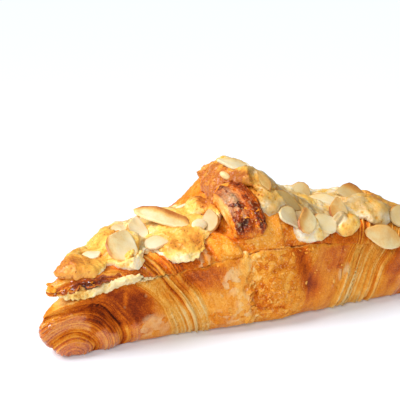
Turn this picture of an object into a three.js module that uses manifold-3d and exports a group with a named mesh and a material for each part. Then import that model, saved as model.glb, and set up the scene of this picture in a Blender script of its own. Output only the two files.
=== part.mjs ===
// An almond croissant: a laminated roll with two blunt horns, split flat with a bread knife, filled with
// almond cream, closed again, and topped with more cream and sliced almonds before its second bake.
// Millimetres, +Z up. The roll lies along X on the floor at Z = 0, and its horns bend towards -Y.
import * as THREE from 'three';
import { ParametricGeometry } from 'three/addons/geometries/ParametricGeometry.js';
import { ImprovedNoise } from 'three/addons/math/ImprovedNoise.js';
import { mergeVertices } from 'three/addons/utils/BufferGeometryUtils.js';
import Module from 'manifold-3d';

// Driving dimensions of the roll: its plan, and how its belly and its lid taper to the horns
const LENGTH = 178;
const WIDTH = 64;
const FRONT = -34;
const FRONT_DRAWN_IN = 1.6;
const DRAWN_IN_FULL = 0.8;
const TIP_DRAWN_IN = 6;
const TIP_HEIGHT = 13;
const BELLY_TAPER = { power: 2.7, root: 0.66 };
const LID_TAPER = { power: 1.9, root: 0.9 };
const TIP_ROUND = { power: 12, root: 0.4 };

// The belly's section: rounder with a power near 1, boxier with a lower one, flat where it meets the floor
const BELLY_ROUND = 0.6;
const SIDE_BULGE = 2.6;
const FLOOR_OVERSHOOT = 1.1;

// The knife's cut, which dips towards the horns, and the slit that the filling props open
const CUT_HEIGHT = 31.5;
const CUT_DIP = 8;
const CUT_SPREAD = 0.5;
const SLIT = 1.5;
const SLIT_LEFT = { more: 3.2, from: 42, full: 70 };
const LEDGE = 1.4;

// The filling's reach into the slit, as a share of the lid's half width, and how far it stops short of a horn
const FILLING_INSET = 0.94;
const FILLING_SWELL = { more: 0.05, from: 38, full: 60, ripple: 0.03, grain: 4 };
const FILLING_ENDS = 0.02;
const FILLING_ROUND = { along: 8, edge: 0.5 };

// The lid above the cut: an even back with one tall wrap in the middle
const LID_RISE = 8.5;
const LID_ENDS = { power: 4, root: 0.5 };
const LID_ROUND = { out: 0.9, up: 0.92 };
const PROUD_FULL = 0.1;
const MIDDLE_WRAP = { rise: 14.5, from: -21.5, full: -4, ease: -6, to: 21 };
const RIGHT_SHOULDER = { x: 48, rise: 3, wide: 16 };

// Each wrap of dough ends in a step, at this distance from the horn's curled tip
const HORN_TIPS = [new THREE.Vector3(-74, -27, 2), new THREE.Vector3(76, -27, 2)];
const WRAP_STEPS = [
  { at: 22.5, rise: 1.8, soft: 4 },
  { at: 44, rise: 2.6, soft: 10 },
  { at: 67, rise: 2.2, soft: 4 },
];
const UNEVEN = { rise: 0.9, grain: 11 };

// The dough's tail, which the last turn leaves on the front of the middle wrap
const TAIL_FROM = new THREE.Vector3(-11.5, -13.5, 47);
const TAIL_TO = new THREE.Vector3(-9, -26, 41.5);
const TAIL_RADIUS = 7.4;
const TAIL_MESH = { cap: 4, round: 12, along: 3 };

// The cream on top: its heaps, where it is thicker or thinner by a share, and its runs down the front and the
// back, with how far down and how wide
const CREAM_THICK = 3.2;
const CREAM_REACH = 0.24;
const CREAM_LENGTH = 170;
const CREAM_ROUND = { along: 6, out: 0.8, up: 0.6 };
const CREAM_LUMPS = { rise: 0.3, grain: 9, rows: 4 };
const CREAM_UNDER = 0.7;
const CREAM_NOISE_ROW = 5;
const CREAM_HEAPS = [
  { x: -77, more: 0.5, wide: 6 },
  { x: -67, more: -0.7, wide: 4 },
  { x: -57, more: 1.1, wide: 6 },
  { x: -36, more: 0.3, wide: 8 },
  { x: 51, more: 0.5, wide: 6 },
];
const FRONT_RUNS = [
  { x: -77, reach: 0.6, wide: 13 },
  { x: -58, reach: 0.5, wide: 8 },
  { x: -35, reach: 0.62, wide: 10 },
  { x: 4, reach: 0.5, wide: 6 },
  { x: 16.5, reach: 0.74, wide: 8 },
  { x: 30, reach: 0.56, wide: 7 },
  { x: 47, reach: 0.4, wide: 9 },
  { x: 66, reach: 0.5, wide: 9 },
];
const BACK_RUNS = [
  { x: -66, reach: 0.5, wide: 12 },
  { x: -42, reach: 0.5, wide: 10 },
  { x: -3, reach: 0.55, wide: 10 },
  { x: 14, reach: 0.3, wide: 7 },
  { x: 38, reach: 0.56, wide: 11 },
  { x: 65, reach: 0.45, wide: 10 },
];

// The ridge left of the middle wrap is bare of cream
const BARE_RIDGE = { x: -20, reach: 0.5, wide: 8 };

// Sliced almonds on the side that shows: place along and across the lid, turn in degrees, size
const SLICE_THICK = 1.2;
const SLICE_FLAT = 0.93;
const SLICE_SINK = 0.32;
const SLICE_TAPER = 0.22;
const SLICE_CURL = 0.05;
const FEEL = { along: 3, across: 0.06 };
const SETTLE_STEP = 0.4;
const SLIDE_STEP = 0.03;
const FAR_FROM = 0.3;
const SHOWN_SLICES = [
  { x: -69, across: -0.06, yaw: 4, lean: 4, roll: 0, long: 9, wide: 6.5 },
  { x: -59, across: -0.33, yaw: 52, lean: 32, roll: 0, long: 16.5, wide: 12.5 },
  { x: -47, across: 0.02, yaw: 58, lean: 40, roll: -8, long: 12.5, wide: 9 },
  { x: -53, across: 0.2, yaw: 0, lean: 30, roll: 0, long: 8, wide: 6 },
  { x: -35, across: -0.1, yaw: -22, lean: 24, roll: 0, long: 23, wide: 11 },
  { x: -43.5, across: -0.32, yaw: -30, lean: 10, roll: 0, long: 9.5, wide: 7 },
  { x: -19.5, across: -0.3, yaw: 54, lean: 6, roll: 0, long: 11, wide: 7.5 },
  { x: -23.5, across: 0.12, yaw: -6, lean: -4, roll: 0, long: 8, wide: 4.5 },
  { x: -5.5, across: -0.02, yaw: -30, lean: 22, roll: 0, long: 13.5, wide: 9 },
  { x: -1.5, across: -0.33, yaw: -84, lean: 4, roll: 44, long: 14.5, wide: 8.5 },
  { x: 6, across: -0.49, yaw: -14, lean: 0, roll: 0, long: 13.5, wide: 6.5 },
  { x: 4, across: -0.72, yaw: -42, lean: 0, roll: 0, long: 10.5, wide: 8.5 },
  { x: 25.5, across: 0.06, yaw: -30, lean: 28, roll: 0, long: 10, wide: 9 },
  { x: 33, across: -0.1, yaw: -20, lean: 24, roll: 0, long: 16, wide: 8 },
  { x: 10, across: -0.74, yaw: 70, lean: 4, roll: 0, long: 13, wide: 8 },
  { x: 21.5, across: -0.69, yaw: 24, lean: 8, roll: 0, long: 11, wide: 10.5 },
  { x: 31.5, across: -0.4, yaw: 72, lean: 24, roll: 0, long: 14, wide: 8 },
  { x: 45.5, across: 0.02, yaw: -34, lean: 36, roll: 0, long: 14.5, wide: 10.5 },
  { x: 46.5, across: -0.94, yaw: -18, lean: 0, roll: 0, long: 18, wide: 10 },
  { x: 58.5, across: -0.5, yaw: 10, lean: 40, roll: 0, long: 11.5, wide: 9.5 },
];

// More slices lie in the cream on the side turned away
const FAR_SLICES = [
  { x: -60, across: 0.78, yaw: 30, lean: -2, roll: 0, long: 11.5, wide: 8 },
  { x: -42, across: 0.64, yaw: 115, lean: 0, roll: 2, long: 13, wide: 9 },
  { x: 1, across: 0.68, yaw: 70, lean: 0, roll: -2, long: 14, wide: 9.5 },
  { x: 12, across: 0.44, yaw: 150, lean: -2, roll: 0, long: 12.5, wide: 8.5 },
  { x: 22, across: 0.36, yaw: 20, lean: 0, roll: 2, long: 12, wide: 8 },
  { x: 31, across: 0.6, yaw: 105, lean: -1, roll: 0, long: 15, wide: 9.5 },
  { x: 41, across: 0.4, yaw: 55, lean: 0, roll: -2, long: 12, wide: 9 },
  { x: 45, across: 0.72, yaw: 5, lean: -2, roll: 0, long: 14.5, wide: 9 },
  { x: 56, across: 0.42, yaw: -30, lean: 0, roll: 1, long: 13, wide: 8.5 },
  { x: 66, across: 0.56, yaw: 80, lean: -1, roll: 0, long: 11.5, wide: 8 },
];

// Mesh counts: stations along the roll and sides round it
const HALF_MESH = { stations: 46, sides: 28 };
const FILLING_MESH = { stations: 32, sides: 12 };
const CREAM_MESH = { stations: 50, sides: 17 };
const SLICE_SIDES = 12;
const CROWDING = { roll: 0.6, cream: 0.4 };
const SAME_CORNER = 1e-3;

const GAP = 0.3;
const noise = new ImprovedNoise();
const clamp = THREE.MathUtils.clamp;
const ramp = THREE.MathUtils.smoothstep;
const bell = (x, centre, wide) => Math.exp(-(((x - centre) / wide) ** 2));
const rounded = (value, power) => Math.sign(value) * Math.abs(value) ** power;

// The roll's line: stations crowd towards the horns, where the shape turns fastest
const crowded = (u, share) => THREE.MathUtils.lerp(2 * u - 1, -Math.cos(Math.PI * u), share);
const stationX = (u) => (LENGTH / 2) * crowded(u, CROWDING.roll);
const along = (x) => clamp(Math.abs(x) / (LENGTH / 2), 0, 1);
const tapered = (x, { power, root }) => (1 - along(x) ** power) ** root;
const plump = (x) => tapered(x, BELLY_TAPER);
const slim = (x) => tapered(x, LID_TAPER);
const pulledIn = (x) => TIP_DRAWN_IN * along(x) ** TIP_ROUND.power;
const drawnIn = (x) => FRONT_DRAWN_IN * ramp(along(x), 0, DRAWN_IN_FULL) + pulledIn(x);
const frontY = (x) => FRONT + drawnIn(x);
const cutZ = (x) => CUT_HEIGHT - CUT_DIP * (1 - bell(along(x), 0, CUT_SPREAD));
const slit = (x) => SLIT + SLIT_LEFT.more * ramp(-x, SLIT_LEFT.from, SLIT_LEFT.full);

// How far the wraps of dough stand proud of the roll at a point
function wrapRise(point) {
  let rise = 0;
  for (const tip of HORN_TIPS) {
    const reach = point.distanceTo(tip);
    for (const step of WRAP_STEPS) {
      rise += step.rise * (ramp(reach, step.at - step.soft / 2, step.at + step.soft / 2) - 1);
    }
  }
  const grain = point.clone().divideScalar(UNEVEN.grain);
  return rise + UNEVEN.rise * noise.noise(grain.x, grain.y, grain.z);
}

// A closed skin from a function of the station u and the way round v, pinched shut at both horns
function closedSkin(pointAt, { stations, sides }) {
  return facingOut(new ParametricGeometry(pointAt, stations, sides));
}

// One sealed surface: shared corners merged, collapsed triangles dropped, faces pointing out
function facingOut(geometry) {
  const bare = geometry.clone();
  bare.deleteAttribute('normal');
  bare.deleteAttribute('uv');
  const merged = mergeVertices(bare, SAME_CORNER);
  const corners = merged.index.array;
  const kept = [];
  for (let i = 0; i < corners.length; i += 3) {
    const [a, b, c] = corners.slice(i, i + 3);
    if (a !== b && b !== c && c !== a) kept.push(a, b, c);
  }
  const position = merged.attributes.position;
  const [p, q, r] = [new THREE.Vector3(), new THREE.Vector3(), new THREE.Vector3()];
  let volume = 0;
  for (let i = 0; i < kept.length; i += 3) {
    p.fromBufferAttribute(position, kept[i]);
    q.fromBufferAttribute(position, kept[i + 1]);
    r.fromBufferAttribute(position, kept[i + 2]);
    volume += p.dot(q.cross(r));
  }
  merged.setIndex(volume < 0 ? kept.reverse() : kept);
  return merged;
}

// Solids for joining and cutting
const wasm = await Module();
wasm.setup();

function solidOf(geometry, matrix = new THREE.Matrix4()) {
  const placed = geometry.clone().applyMatrix4(matrix);
  return new wasm.Manifold(
    new wasm.Mesh({
      numProp: 3,
      vertProperties: new Float32Array(placed.attributes.position.array),
      triVerts: new Uint32Array(placed.index.array),
    }),
  );
}

function geometryOf(solid) {
  const mesh = solid.getMesh();
  return new THREE.BufferGeometry()
    .setAttribute('position', new THREE.BufferAttribute(mesh.vertProperties, 3))
    .setIndex(new THREE.BufferAttribute(mesh.triVerts, 1));
}

// The largest body of a solid, without the scraps that a cut leaves
function largestBody(solid) {
  return solid.decompose().reduce((a, b) => (b.volume() > a.volume() ? b : a));
}

// Way round a section: the crust takes the first share of the sides, and the cut face the rest
const CRUST_SHARE = 0.75;

// Lower half: from the front of the cut, under the belly, to the back of the cut, then across the cut face
function lowerHalfPoint(u, v, target) {
  const x = stationX(u);
  const top = cutZ(x);
  if (v <= CRUST_SHARE) {
    const angle = (Math.PI * v) / CRUST_SHARE;
    const out = -rounded(Math.cos(angle), BELLY_ROUND);
    const down = rounded(Math.sin(angle), BELLY_ROUND);
    const half = (WIDTH / 2) * THREE.MathUtils.lerp(slim(x), plump(x), down);
    const bulge = SIDE_BULGE * Math.sin(2 * angle) * plump(x);
    target.set(x, frontY(x) + half * (1 + out) - bulge, top * (1 - FLOOR_OVERSHOOT * down));
    target.y += wrapRise(target) * plump(x) * out;
  } else {
    const across = (v - CRUST_SHARE) / (1 - CRUST_SHARE);
    target.set(x, frontY(x) + WIDTH * slim(x) * (1 - across), top);
    target.y += wrapRise(target) * plump(x) * (1 - 2 * across);
  }
  target.z = THREE.MathUtils.lerp(TIP_HEIGHT, target.z, tapered(x, TIP_ROUND));
  target.z = Math.max(target.z, 0);
}

// Height of the lid's ridge above the cut
function lidRise(x) {
  const { rise, from, full, ease, to } = MIDDLE_WRAP;
  const middle = rise * ramp(x, from, full) * (1 - ramp(x, ease, to));
  const shoulder = RIGHT_SHOULDER.rise * bell(x, RIGHT_SHOULDER.x, RIGHT_SHOULDER.wide);
  return LID_RISE * tapered(x, LID_ENDS) + middle + shoulder;
}

// The lid's crust: across runs from -1 at the front of the cut to +1 at the back, and proud lifts it
function lidCrust(x, across, proud, target) {
  const angle = (Math.PI * (across + 1)) / 2;
  const half = (WIDTH / 2 - LEDGE) * slim(x);
  const middle = frontY(x) + LEDGE * slim(x) + half;
  const out = -rounded(Math.cos(angle), LID_ROUND.out);
  const up = rounded(Math.sin(angle), LID_ROUND.up);
  const base = cutZ(x) + slit(x);
  target.set(x, middle + half * out, base + lidRise(x) * up);
  const rise = wrapRise(target) * slim(x) * (1 + 2 * up) / 3 + proud * ramp(slim(x), 0, PROUD_FULL);
  target.y += rise * out;
  target.z += rise * up;
  target.z = Math.max(target.z, base);
}

function lidPoint(u, v, proud, target) {
  const x = stationX(u);
  if (v <= CRUST_SHARE) {
    lidCrust(x, (2 * v) / CRUST_SHARE - 1, proud, target);
  } else {
    const across = (v - CRUST_SHARE) / (1 - CRUST_SHARE);
    lidCrust(x, 1, proud, target);
    const back = target.y;
    lidCrust(x, -1, proud, target);
    target.y = THREE.MathUtils.lerp(back, target.y, across);
  }
}

// The tail: a short roll of dough with round ends, lying down the front of the middle wrap
function tailGeometry(radius) {
  const length = TAIL_FROM.distanceTo(TAIL_TO);
  const { cap, round, along: rings } = TAIL_MESH;
  const geometry = facingOut(new THREE.CapsuleGeometry(radius, length, cap, round, rings));
  const lay = new THREE.Quaternion().setFromUnitVectors(
    new THREE.Vector3(0, 1, 0),
    TAIL_TO.clone().sub(TAIL_FROM).normalize(),
  );
  geometry.applyQuaternion(lay);
  const middle = TAIL_FROM.clone().lerp(TAIL_TO, 0.5);
  return geometry.translate(middle.x, middle.y, middle.z);
}

// Filling: a layer that lies in the slit from end to end, and swells out at the left front
function fillingPoint(u, v, target) {
  const x = stationX(THREE.MathUtils.lerp(FILLING_ENDS, 1 - FILLING_ENDS, u));
  const turn = 2 * Math.PI * v;
  const out = rounded(Math.cos(turn), FILLING_ROUND.edge);
  const up = rounded(Math.sin(turn), FILLING_ROUND.edge);
  const half = (WIDTH / 2 - LEDGE) * slim(x);
  const centre = frontY(x) + LEDGE * slim(x) + half;
  const pinch = Math.sqrt(1 - (2 * u - 1) ** FILLING_ROUND.along);
  const ripple = FILLING_SWELL.ripple * noise.noise(x / FILLING_SWELL.grain, Math.sign(out), 0.5);
  const swell = FILLING_SWELL.more * ramp(-x, FILLING_SWELL.from, FILLING_SWELL.full);
  const reach = (FILLING_INSET + swell) * (1 + ripple);
  const thick = slit(x) / 2 - GAP;
  target.set(x, centre + half * reach * pinch * out, cutZ(x) + slit(x) / 2 + thick * pinch * up);
}

// Cream: how far it runs down one side at a station, as a share of the way from the ridge to the cut
function creamReach(x, runs) {
  return CREAM_REACH + Math.max(...runs.map((run) => run.reach * bell(x, run.x, run.wide)));
}

const heaped = (x) => CREAM_HEAPS.reduce((sum, heap) => sum + heap.more * bell(x, heap.x, heap.wide), 1);
const frontReach = (x) => creamReach(x, FRONT_RUNS);
const backReach = (x) => creamReach(x, BACK_RUNS) - BARE_RIDGE.reach * bell(x, BARE_RIDGE.x, BARE_RIDGE.wide);

function creamPoint(u, v, target) {
  const x = (CREAM_LENGTH / 2) * crowded(u, CROWDING.cream);
  const turn = 2 * Math.PI * v;
  const ends = Math.sqrt(1 - (2 * u - 1) ** CREAM_ROUND.along);
  const out = -rounded(Math.cos(turn), CREAM_ROUND.out);
  const across = ends * THREE.MathUtils.lerp(-frontReach(x), backReach(x), (1 + out) / 2);
  const wave = noise.noise(x / CREAM_LUMPS.grain, across * CREAM_LUMPS.rows, CREAM_NOISE_ROW);
  const lumps = 1 + CREAM_LUMPS.rise * wave;
  const thick = CREAM_THICK * heaped(x) * ends * rounded(Math.sin(turn), CREAM_ROUND.up);
  lidCrust(x, across, thick * (thick > 0 ? lumps : CREAM_UNDER), target);
}

// A sliced almond: a thin lens with a teardrop outline, bent a little along its length
function sliceGeometry(long, wide, grow) {
  const rim = SLICE_THICK / 2 + grow;
  const profile = [
    new THREE.Vector2(0, -rim),
    new THREE.Vector2(SLICE_FLAT, -rim),
    new THREE.Vector2(1, 0),
    new THREE.Vector2(SLICE_FLAT, rim),
    new THREE.Vector2(0, rim),
  ];
  const geometry = facingOut(new THREE.LatheGeometry(profile, SLICE_SIDES).rotateX(Math.PI / 2));
  const position = geometry.attributes.position;
  for (let i = 0; i < position.count; i += 1) {
    const [x, y, z] = [position.getX(i), position.getY(i), position.getZ(i)];
    const taper = 1 - SLICE_TAPER * x;
    const curl = SLICE_CURL * long * (0.5 - x * x);
    position.setXYZ(i, x * (long / 2 + grow), y * taper * (wide / 2 + grow), z + curl);
  }
  return geometry;
}

// Where a slice lies: turned in the lid's own tangent plane, then leaned to the front and rolled sideways
function slicePlace(slice, lift) {
  const [here, ahead, over] = [new THREE.Vector3(), new THREE.Vector3(), new THREE.Vector3()];
  lidCrust(slice.x, slice.across, 0, here);
  lidCrust(slice.x + FEEL.along, slice.across, 0, ahead);
  lidCrust(slice.x, slice.across + FEEL.across, 0, over);
  const xAxis = ahead.sub(here).normalize();
  const normal = xAxis.clone().cross(over.sub(here)).normalize();
  const yAxis = normal.clone().cross(xAxis);
  const frame = new THREE.Matrix4().makeBasis(xAxis, yAxis, normal);
  const turned = new THREE.Euler(
    THREE.MathUtils.degToRad(slice.lean),
    THREE.MathUtils.degToRad(-slice.roll),
    THREE.MathUtils.degToRad(slice.yaw),
    'XYZ',
  );
  frame.multiply(new THREE.Matrix4().makeRotationFromEuler(turned));
  return frame.setPosition(here.addScaledVector(normal, lift));
}

// A slice sinks into the cream until it meets the crust or a slice that lies there already; one on the side
// turned away slides on down the back instead of lying on its neighbour
function settle(slice, taken) {
  const swollen = sliceGeometry(slice.long, slice.wide, GAP);
  const inCream = slice.across > -frontReach(slice.x) && slice.across < backReach(slice.x);
  const resting = { ...slice };
  let lift = inCream ? Math.max(CREAM_THICK * (heaped(slice.x) - SLICE_SINK), SLICE_THICK) : SLICE_THICK;
  while (!solidOf(swollen, slicePlace(resting, lift)).intersect(taken).isEmpty()) {
    if (slice.across > FAR_FROM) resting.across += SLIDE_STEP;
    else lift += SETTLE_STEP;
  }
  const place = slicePlace(resting, lift);
  return { place, hollow: solidOf(swollen, place) };
}

// Assembly
const croissant = new THREE.Group();
const crust = new THREE.MeshStandardMaterial({ color: 0xc9782a, roughness: 0.5, metalness: 0 });
const cream = new THREE.MeshStandardMaterial({ color: 0xefd48e, roughness: 0.75, metalness: 0 });
const crumb = new THREE.MeshStandardMaterial({ color: 0xf0dca6, roughness: 0.85, metalness: 0 });
const almond = new THREE.MeshStandardMaterial({ color: 0xf0dcb4, roughness: 0.55, metalness: 0 });

function addPiece(name, geometry, material) {
  const mesh = new THREE.Mesh(geometry, material);
  mesh.name = name;
  croissant.add(mesh);
  return mesh;
}

function lidSolid(proud) {
  const skin = closedSkin((u, v, target) => lidPoint(u, v, proud, target), HALF_MESH);
  return solidOf(skin).add(solidOf(tailGeometry(TAIL_RADIUS + proud)));
}

const lowerHalf = closedSkin(lowerHalfPoint, HALF_MESH);
const lid = lidSolid(0);
addPiece('lower_half', lowerHalf, crust);
addPiece('upper_half', geometryOf(lid), crust);
addPiece('filling', closedSkin(fillingPoint, FILLING_MESH), crumb);

let taken = solidOf(lowerHalf).add(lid);
let topping = solidOf(closedSkin(creamPoint, CREAM_MESH)).subtract(lidSolid(GAP));
[...SHOWN_SLICES, ...FAR_SLICES].forEach((slice, i) => {
  const { place, hollow } = settle(slice, taken);
  const mesh = addPiece(`almond_${i + 1}`, sliceGeometry(slice.long, slice.wide, 0), almond);
  mesh.applyMatrix4(place);
  taken = taken.add(hollow);
  topping = topping.subtract(hollow);
});
addPiece('cream_topping', geometryOf(largestBody(topping)), cream);

// The origin is the middle of the footprint, on the floor
const box = new THREE.Box3().setFromObject(croissant, true);
const middle = box.getCenter(new THREE.Vector3());
croissant.position.set(-middle.x, -middle.y, -box.min.z);

export default croissant;
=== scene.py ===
# %% [markdown]
# # An almond croissant
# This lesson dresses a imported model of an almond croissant. The model holds the plain shapes: the two
# halves of the roll, the filling between them, the cream on top and the sliced almonds. Each is copied,
# given a fine surface with operators and modifiers, and finished with a material made of nodes. Sizes are
# in millimetres.

import bpy
import numpy as np
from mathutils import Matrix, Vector, noise
from mathutils.kdtree import KDTree


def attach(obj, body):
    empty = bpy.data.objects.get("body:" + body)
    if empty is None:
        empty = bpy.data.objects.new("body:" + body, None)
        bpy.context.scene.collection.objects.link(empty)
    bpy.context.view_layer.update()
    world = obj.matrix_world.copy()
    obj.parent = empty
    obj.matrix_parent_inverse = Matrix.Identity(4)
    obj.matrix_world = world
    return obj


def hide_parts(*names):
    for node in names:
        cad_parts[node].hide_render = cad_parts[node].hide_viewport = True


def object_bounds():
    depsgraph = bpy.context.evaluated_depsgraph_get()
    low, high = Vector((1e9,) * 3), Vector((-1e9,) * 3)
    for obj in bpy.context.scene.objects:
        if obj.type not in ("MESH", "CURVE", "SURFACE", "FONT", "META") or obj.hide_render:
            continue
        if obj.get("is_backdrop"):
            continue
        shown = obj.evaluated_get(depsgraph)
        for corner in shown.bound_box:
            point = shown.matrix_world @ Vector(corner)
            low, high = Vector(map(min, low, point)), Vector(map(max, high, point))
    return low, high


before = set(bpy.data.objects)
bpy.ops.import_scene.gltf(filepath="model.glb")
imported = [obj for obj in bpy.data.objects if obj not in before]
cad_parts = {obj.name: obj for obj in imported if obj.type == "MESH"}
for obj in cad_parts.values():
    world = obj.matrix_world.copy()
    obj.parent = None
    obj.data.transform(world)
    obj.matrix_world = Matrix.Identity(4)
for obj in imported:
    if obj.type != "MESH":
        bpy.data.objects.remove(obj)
cad_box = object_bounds()
MM = 0.001


def in_mm(box):
    return [[round(c / MM, 1) for c in corner] for corner in box]


print("nodes:", len(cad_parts), "box in mm:", in_mm(cad_box))

# %% [markdown]
# ## Camera
# The picture looks at the croissant from the left of its front and from a little above. The camera could
# be fitted by eye. Here its place was worked out from the cut line, the ridge and the lower edge, so it
# is two points: where the lens is, and what it looks at. A long lens keeps the horns from bending.

# %% Camera
EYE = Vector((-181.3, -352.6, 157.8)) * MM
AIM = Vector((-12.6, 14.2, 40.4)) * MM
LENS = 94.5

bpy.ops.object.camera_add(location=EYE, rotation=(AIM - EYE).to_track_quat("-Z", "Y").to_euler())
camera = bpy.context.object
camera.data.lens = LENS
bpy.context.scene.camera = camera
print("camera is", round((AIM - EYE).length / MM), "mm from its aim")

# %% [markdown]
# ## Floor and light
# Food on white paper in a white studio. A wide light from the left, about 40 degrees off the vertical and
# a touch behind, gives the shade and the narrow shadow on the paper. A cooler lamp at the front left
# gives the egg wash its streaks of shine, and a white world fills the rest. One light from the front
# would be simpler, but it would flatten the dough's layers. The Standard view keeps the colours as they
# are set.

# %% Floor and light
FLOOR_SIDE = 30.0
WHITE = (1.0, 1.0, 1.0, 1.0)
WORLD_STRENGTH = 0.18
SUN_FROM = Vector((-0.85, 0.08, 1.0))
SUN_STRENGTH = 3.6
SUN_SOFTNESS = np.radians(36)
LAMP_PLACE = Vector((-0.5, -0.8, 0.62))
LAMP_SIZE = 0.26
LAMP_WATTS = 5.2
LAMP_COLOUR = (0.88, 0.94, 1.0)


def light_from(place, kind, name, strength):
    aim = (-place).to_track_quat("-Z", "Y").to_euler()
    bpy.ops.object.light_add(type=kind, location=place, rotation=aim)
    light = bpy.context.object
    light.name = name
    light.data.energy = strength
    return light.data


bpy.ops.mesh.primitive_plane_add(size=FLOOR_SIDE)
floor = bpy.context.object
floor.name = "white_floor"
floor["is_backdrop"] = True

sun = light_from(SUN_FROM, "SUN", "high_light", SUN_STRENGTH)
sun.angle = SUN_SOFTNESS
lamp = light_from(LAMP_PLACE, "AREA", "front_lamp", LAMP_WATTS)
lamp.size = LAMP_SIZE
lamp.color = LAMP_COLOUR

world = bpy.data.worlds.new("white_room")
world.use_nodes = True
world.node_tree.nodes["Background"].inputs["Color"].default_value = WHITE
world.node_tree.nodes["Background"].inputs["Strength"].default_value = WORLD_STRENGTH
bpy.context.scene.world = world
bpy.context.scene.view_settings.view_transform = "Standard"
print("world strength", WORLD_STRENGTH, "sun", SUN_STRENGTH, "lamp watts", LAMP_WATTS)

# %% [markdown]
# ## Helpers
# An operator acts on what is selected, so one helper selects a piece alone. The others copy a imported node
# as a clean mesh, read and write its points in millimetres, and store a number for each point, which a
# material reads as an attribute.

# %% Helpers for meshes
MERGE_WITHIN = 0.01


def only(piece):
    bpy.ops.object.select_all(action="DESELECT")
    piece.select_set(True)
    bpy.context.view_layer.objects.active = piece


def in_edit_mode(piece, *steps):
    only(piece)
    bpy.ops.object.mode_set(mode="EDIT")
    bpy.ops.mesh.select_all(action="SELECT")
    for operator, settings in steps:
        operator(**settings)
    bpy.ops.object.mode_set(mode="OBJECT")


def modify(piece, kind, **settings):
    only(piece)
    modifier = piece.modifiers.new(kind.title(), kind)
    for name, value in settings.items():
        setattr(modifier, name, value)
    bpy.ops.object.modifier_apply(modifier=modifier.name)


def copy_of_node(node, name):
    piece = bpy.data.objects.new(name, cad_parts[node].data.copy())
    bpy.context.scene.collection.objects.link(piece)
    piece.data.materials.clear()
    in_edit_mode(
        piece,
        (bpy.ops.mesh.customdata_custom_splitnormals_clear, {}),
        (bpy.ops.mesh.remove_doubles, {"threshold": MERGE_WITHIN * MM}),
    )
    return piece


def remesh(piece, voxel_mm):
    only(piece)
    piece.data.remesh_voxel_size = voxel_mm * MM
    bpy.ops.object.voxel_remesh()


def points_of(piece):
    flat = np.empty(len(piece.data.vertices) * 3)
    piece.data.vertices.foreach_get("co", flat)
    return flat.reshape(-1, 3) / MM


def normals_of(piece):
    flat = np.empty(len(piece.data.vertices) * 3)
    piece.data.vertex_normals.foreach_get("vector", flat)
    return flat.reshape(-1, 3)


def move_points(piece, points):
    piece.data.vertices.foreach_set("co", (points * MM).ravel())
    piece.data.update()


def store(piece, **values):
    for name, value in values.items():
        attribute = piece.data.attributes.new(name, "FLOAT", "POINT")
        attribute.data.foreach_set("value", np.asarray(value, np.float32))


def finish_piece(piece, material, slot, *nodes):
    piece.data.materials.clear()
    piece.data.materials.append(material)
    only(piece)
    bpy.ops.object.shade_smooth()
    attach(piece, "root")
    if nodes:
        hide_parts(*nodes)
    print(piece.name, "triangles:", sum(len(p.vertices) - 2 for p in piece.data.polygons))


print("points are merged within", MERGE_WITHIN, "mm")


# %% [markdown]
# Dough and cream are uneven at every size. A smooth ramp, a bell curve and layered noise are enough to
# describe them. The noise takes its bump size in millimetres and gives the same result each run. Bumps
# are several such noises, each with its own height. A patch is a spot with a ragged edge, and a path is a
# line drawn on the front, as it is seen from there.


# %% Helpers for relief
def ramp(value, low, high):
    share = np.clip((value - low) / (high - low), 0, 1)
    return share * share * (3 - 2 * share)


def bell(value, centre, wide):
    return np.exp(-(((value - centre) / wide) ** 2))


def uneven(points, size, octaves=2, seed=0.0):
    return np.array([noise.fractal(p, 1.0, 2.0, octaves) for p in points / size + seed])


def bumps(points, kinds):
    return sum(high * uneven(points, *kind) for high, *kind in kinds)


def patch(points, ragged, place, radii, edge=0.3):
    away = np.linalg.norm((points - np.array(place)) / np.array(radii), axis=1) + ragged
    return 1 - ramp(away, 1 - edge, 1 + edge)


def patches(points, ragged, spots):
    return sum(amount * patch(points, ragged, place, radii, edge) for place, radii, edge, amount in spots)


def path_in_front(points, path):
    flat = points[:, [0, 2]]
    nearest = np.full(len(flat), np.inf)
    side = np.zeros(len(flat))
    for start, end in zip(np.array(path[:-1]), np.array(path[1:])):
        step = end - start
        share = np.clip(((flat - start) @ step) / (step @ step), 0, 1)
        gap = flat - start - share[:, None] * step
        away = np.hypot(gap[:, 0], gap[:, 1])
        closer = away < nearest
        nearest[closer] = away[closer]
        side[closer] = np.sign(step[0] * gap[closer, 1] - step[1] * gap[closer, 0])
    return nearest, nearest * side


print("halfway up, a ramp gives", ramp(0.5, 0, 1), "and a bell", round(bell(0.5, 0, 1), 2))


# %% [markdown]
# ## Colour and nodes
# Colours are written as sRGB hex values, as a colour picker shows them, and one function turns them to
# the linear numbers that shaders take. One more function adds a node with its settings and links. A Map
# Range node takes four limits, so they are kept together as one named value.


# %% Helpers for materials
def linear(code):
    parts = [int(code[i : i + 2], 16) / 255 for i in (1, 3, 5)]
    return [c / 12.92 if c <= 0.04045 else ((c + 0.055) / 1.055) ** 2.4 for c in parts] + [1.0]


def add(tree, kind, inputs=None, stops=None, **settings):
    node = tree.nodes.new("ShaderNode" + kind)
    for name, value in settings.items():
        setattr(node, name, value)
    for socket, source in (inputs or {}).items():
        if isinstance(source, bpy.types.NodeSocket):
            tree.links.new(source, node.inputs[socket])
        else:
            node.inputs[socket].default_value = source
    for i, (place, colour) in enumerate(stops or []):
        element = node.color_ramp.elements[i] if i < 2 else node.color_ramp.elements.new(place)
        element.position = place
        element.color = linear(colour)
    return node


def within(source, limits):
    return dict(enumerate((source, *limits)))


def new_material(name):
    material = bpy.data.materials.new(name)
    material.use_nodes = True
    material.node_tree.nodes.clear()
    return material, material.node_tree


def per_mm(size):
    return 1 / (size * MM)


print("mid grey in linear light:", round(linear("#808080")[0], 2))


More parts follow.
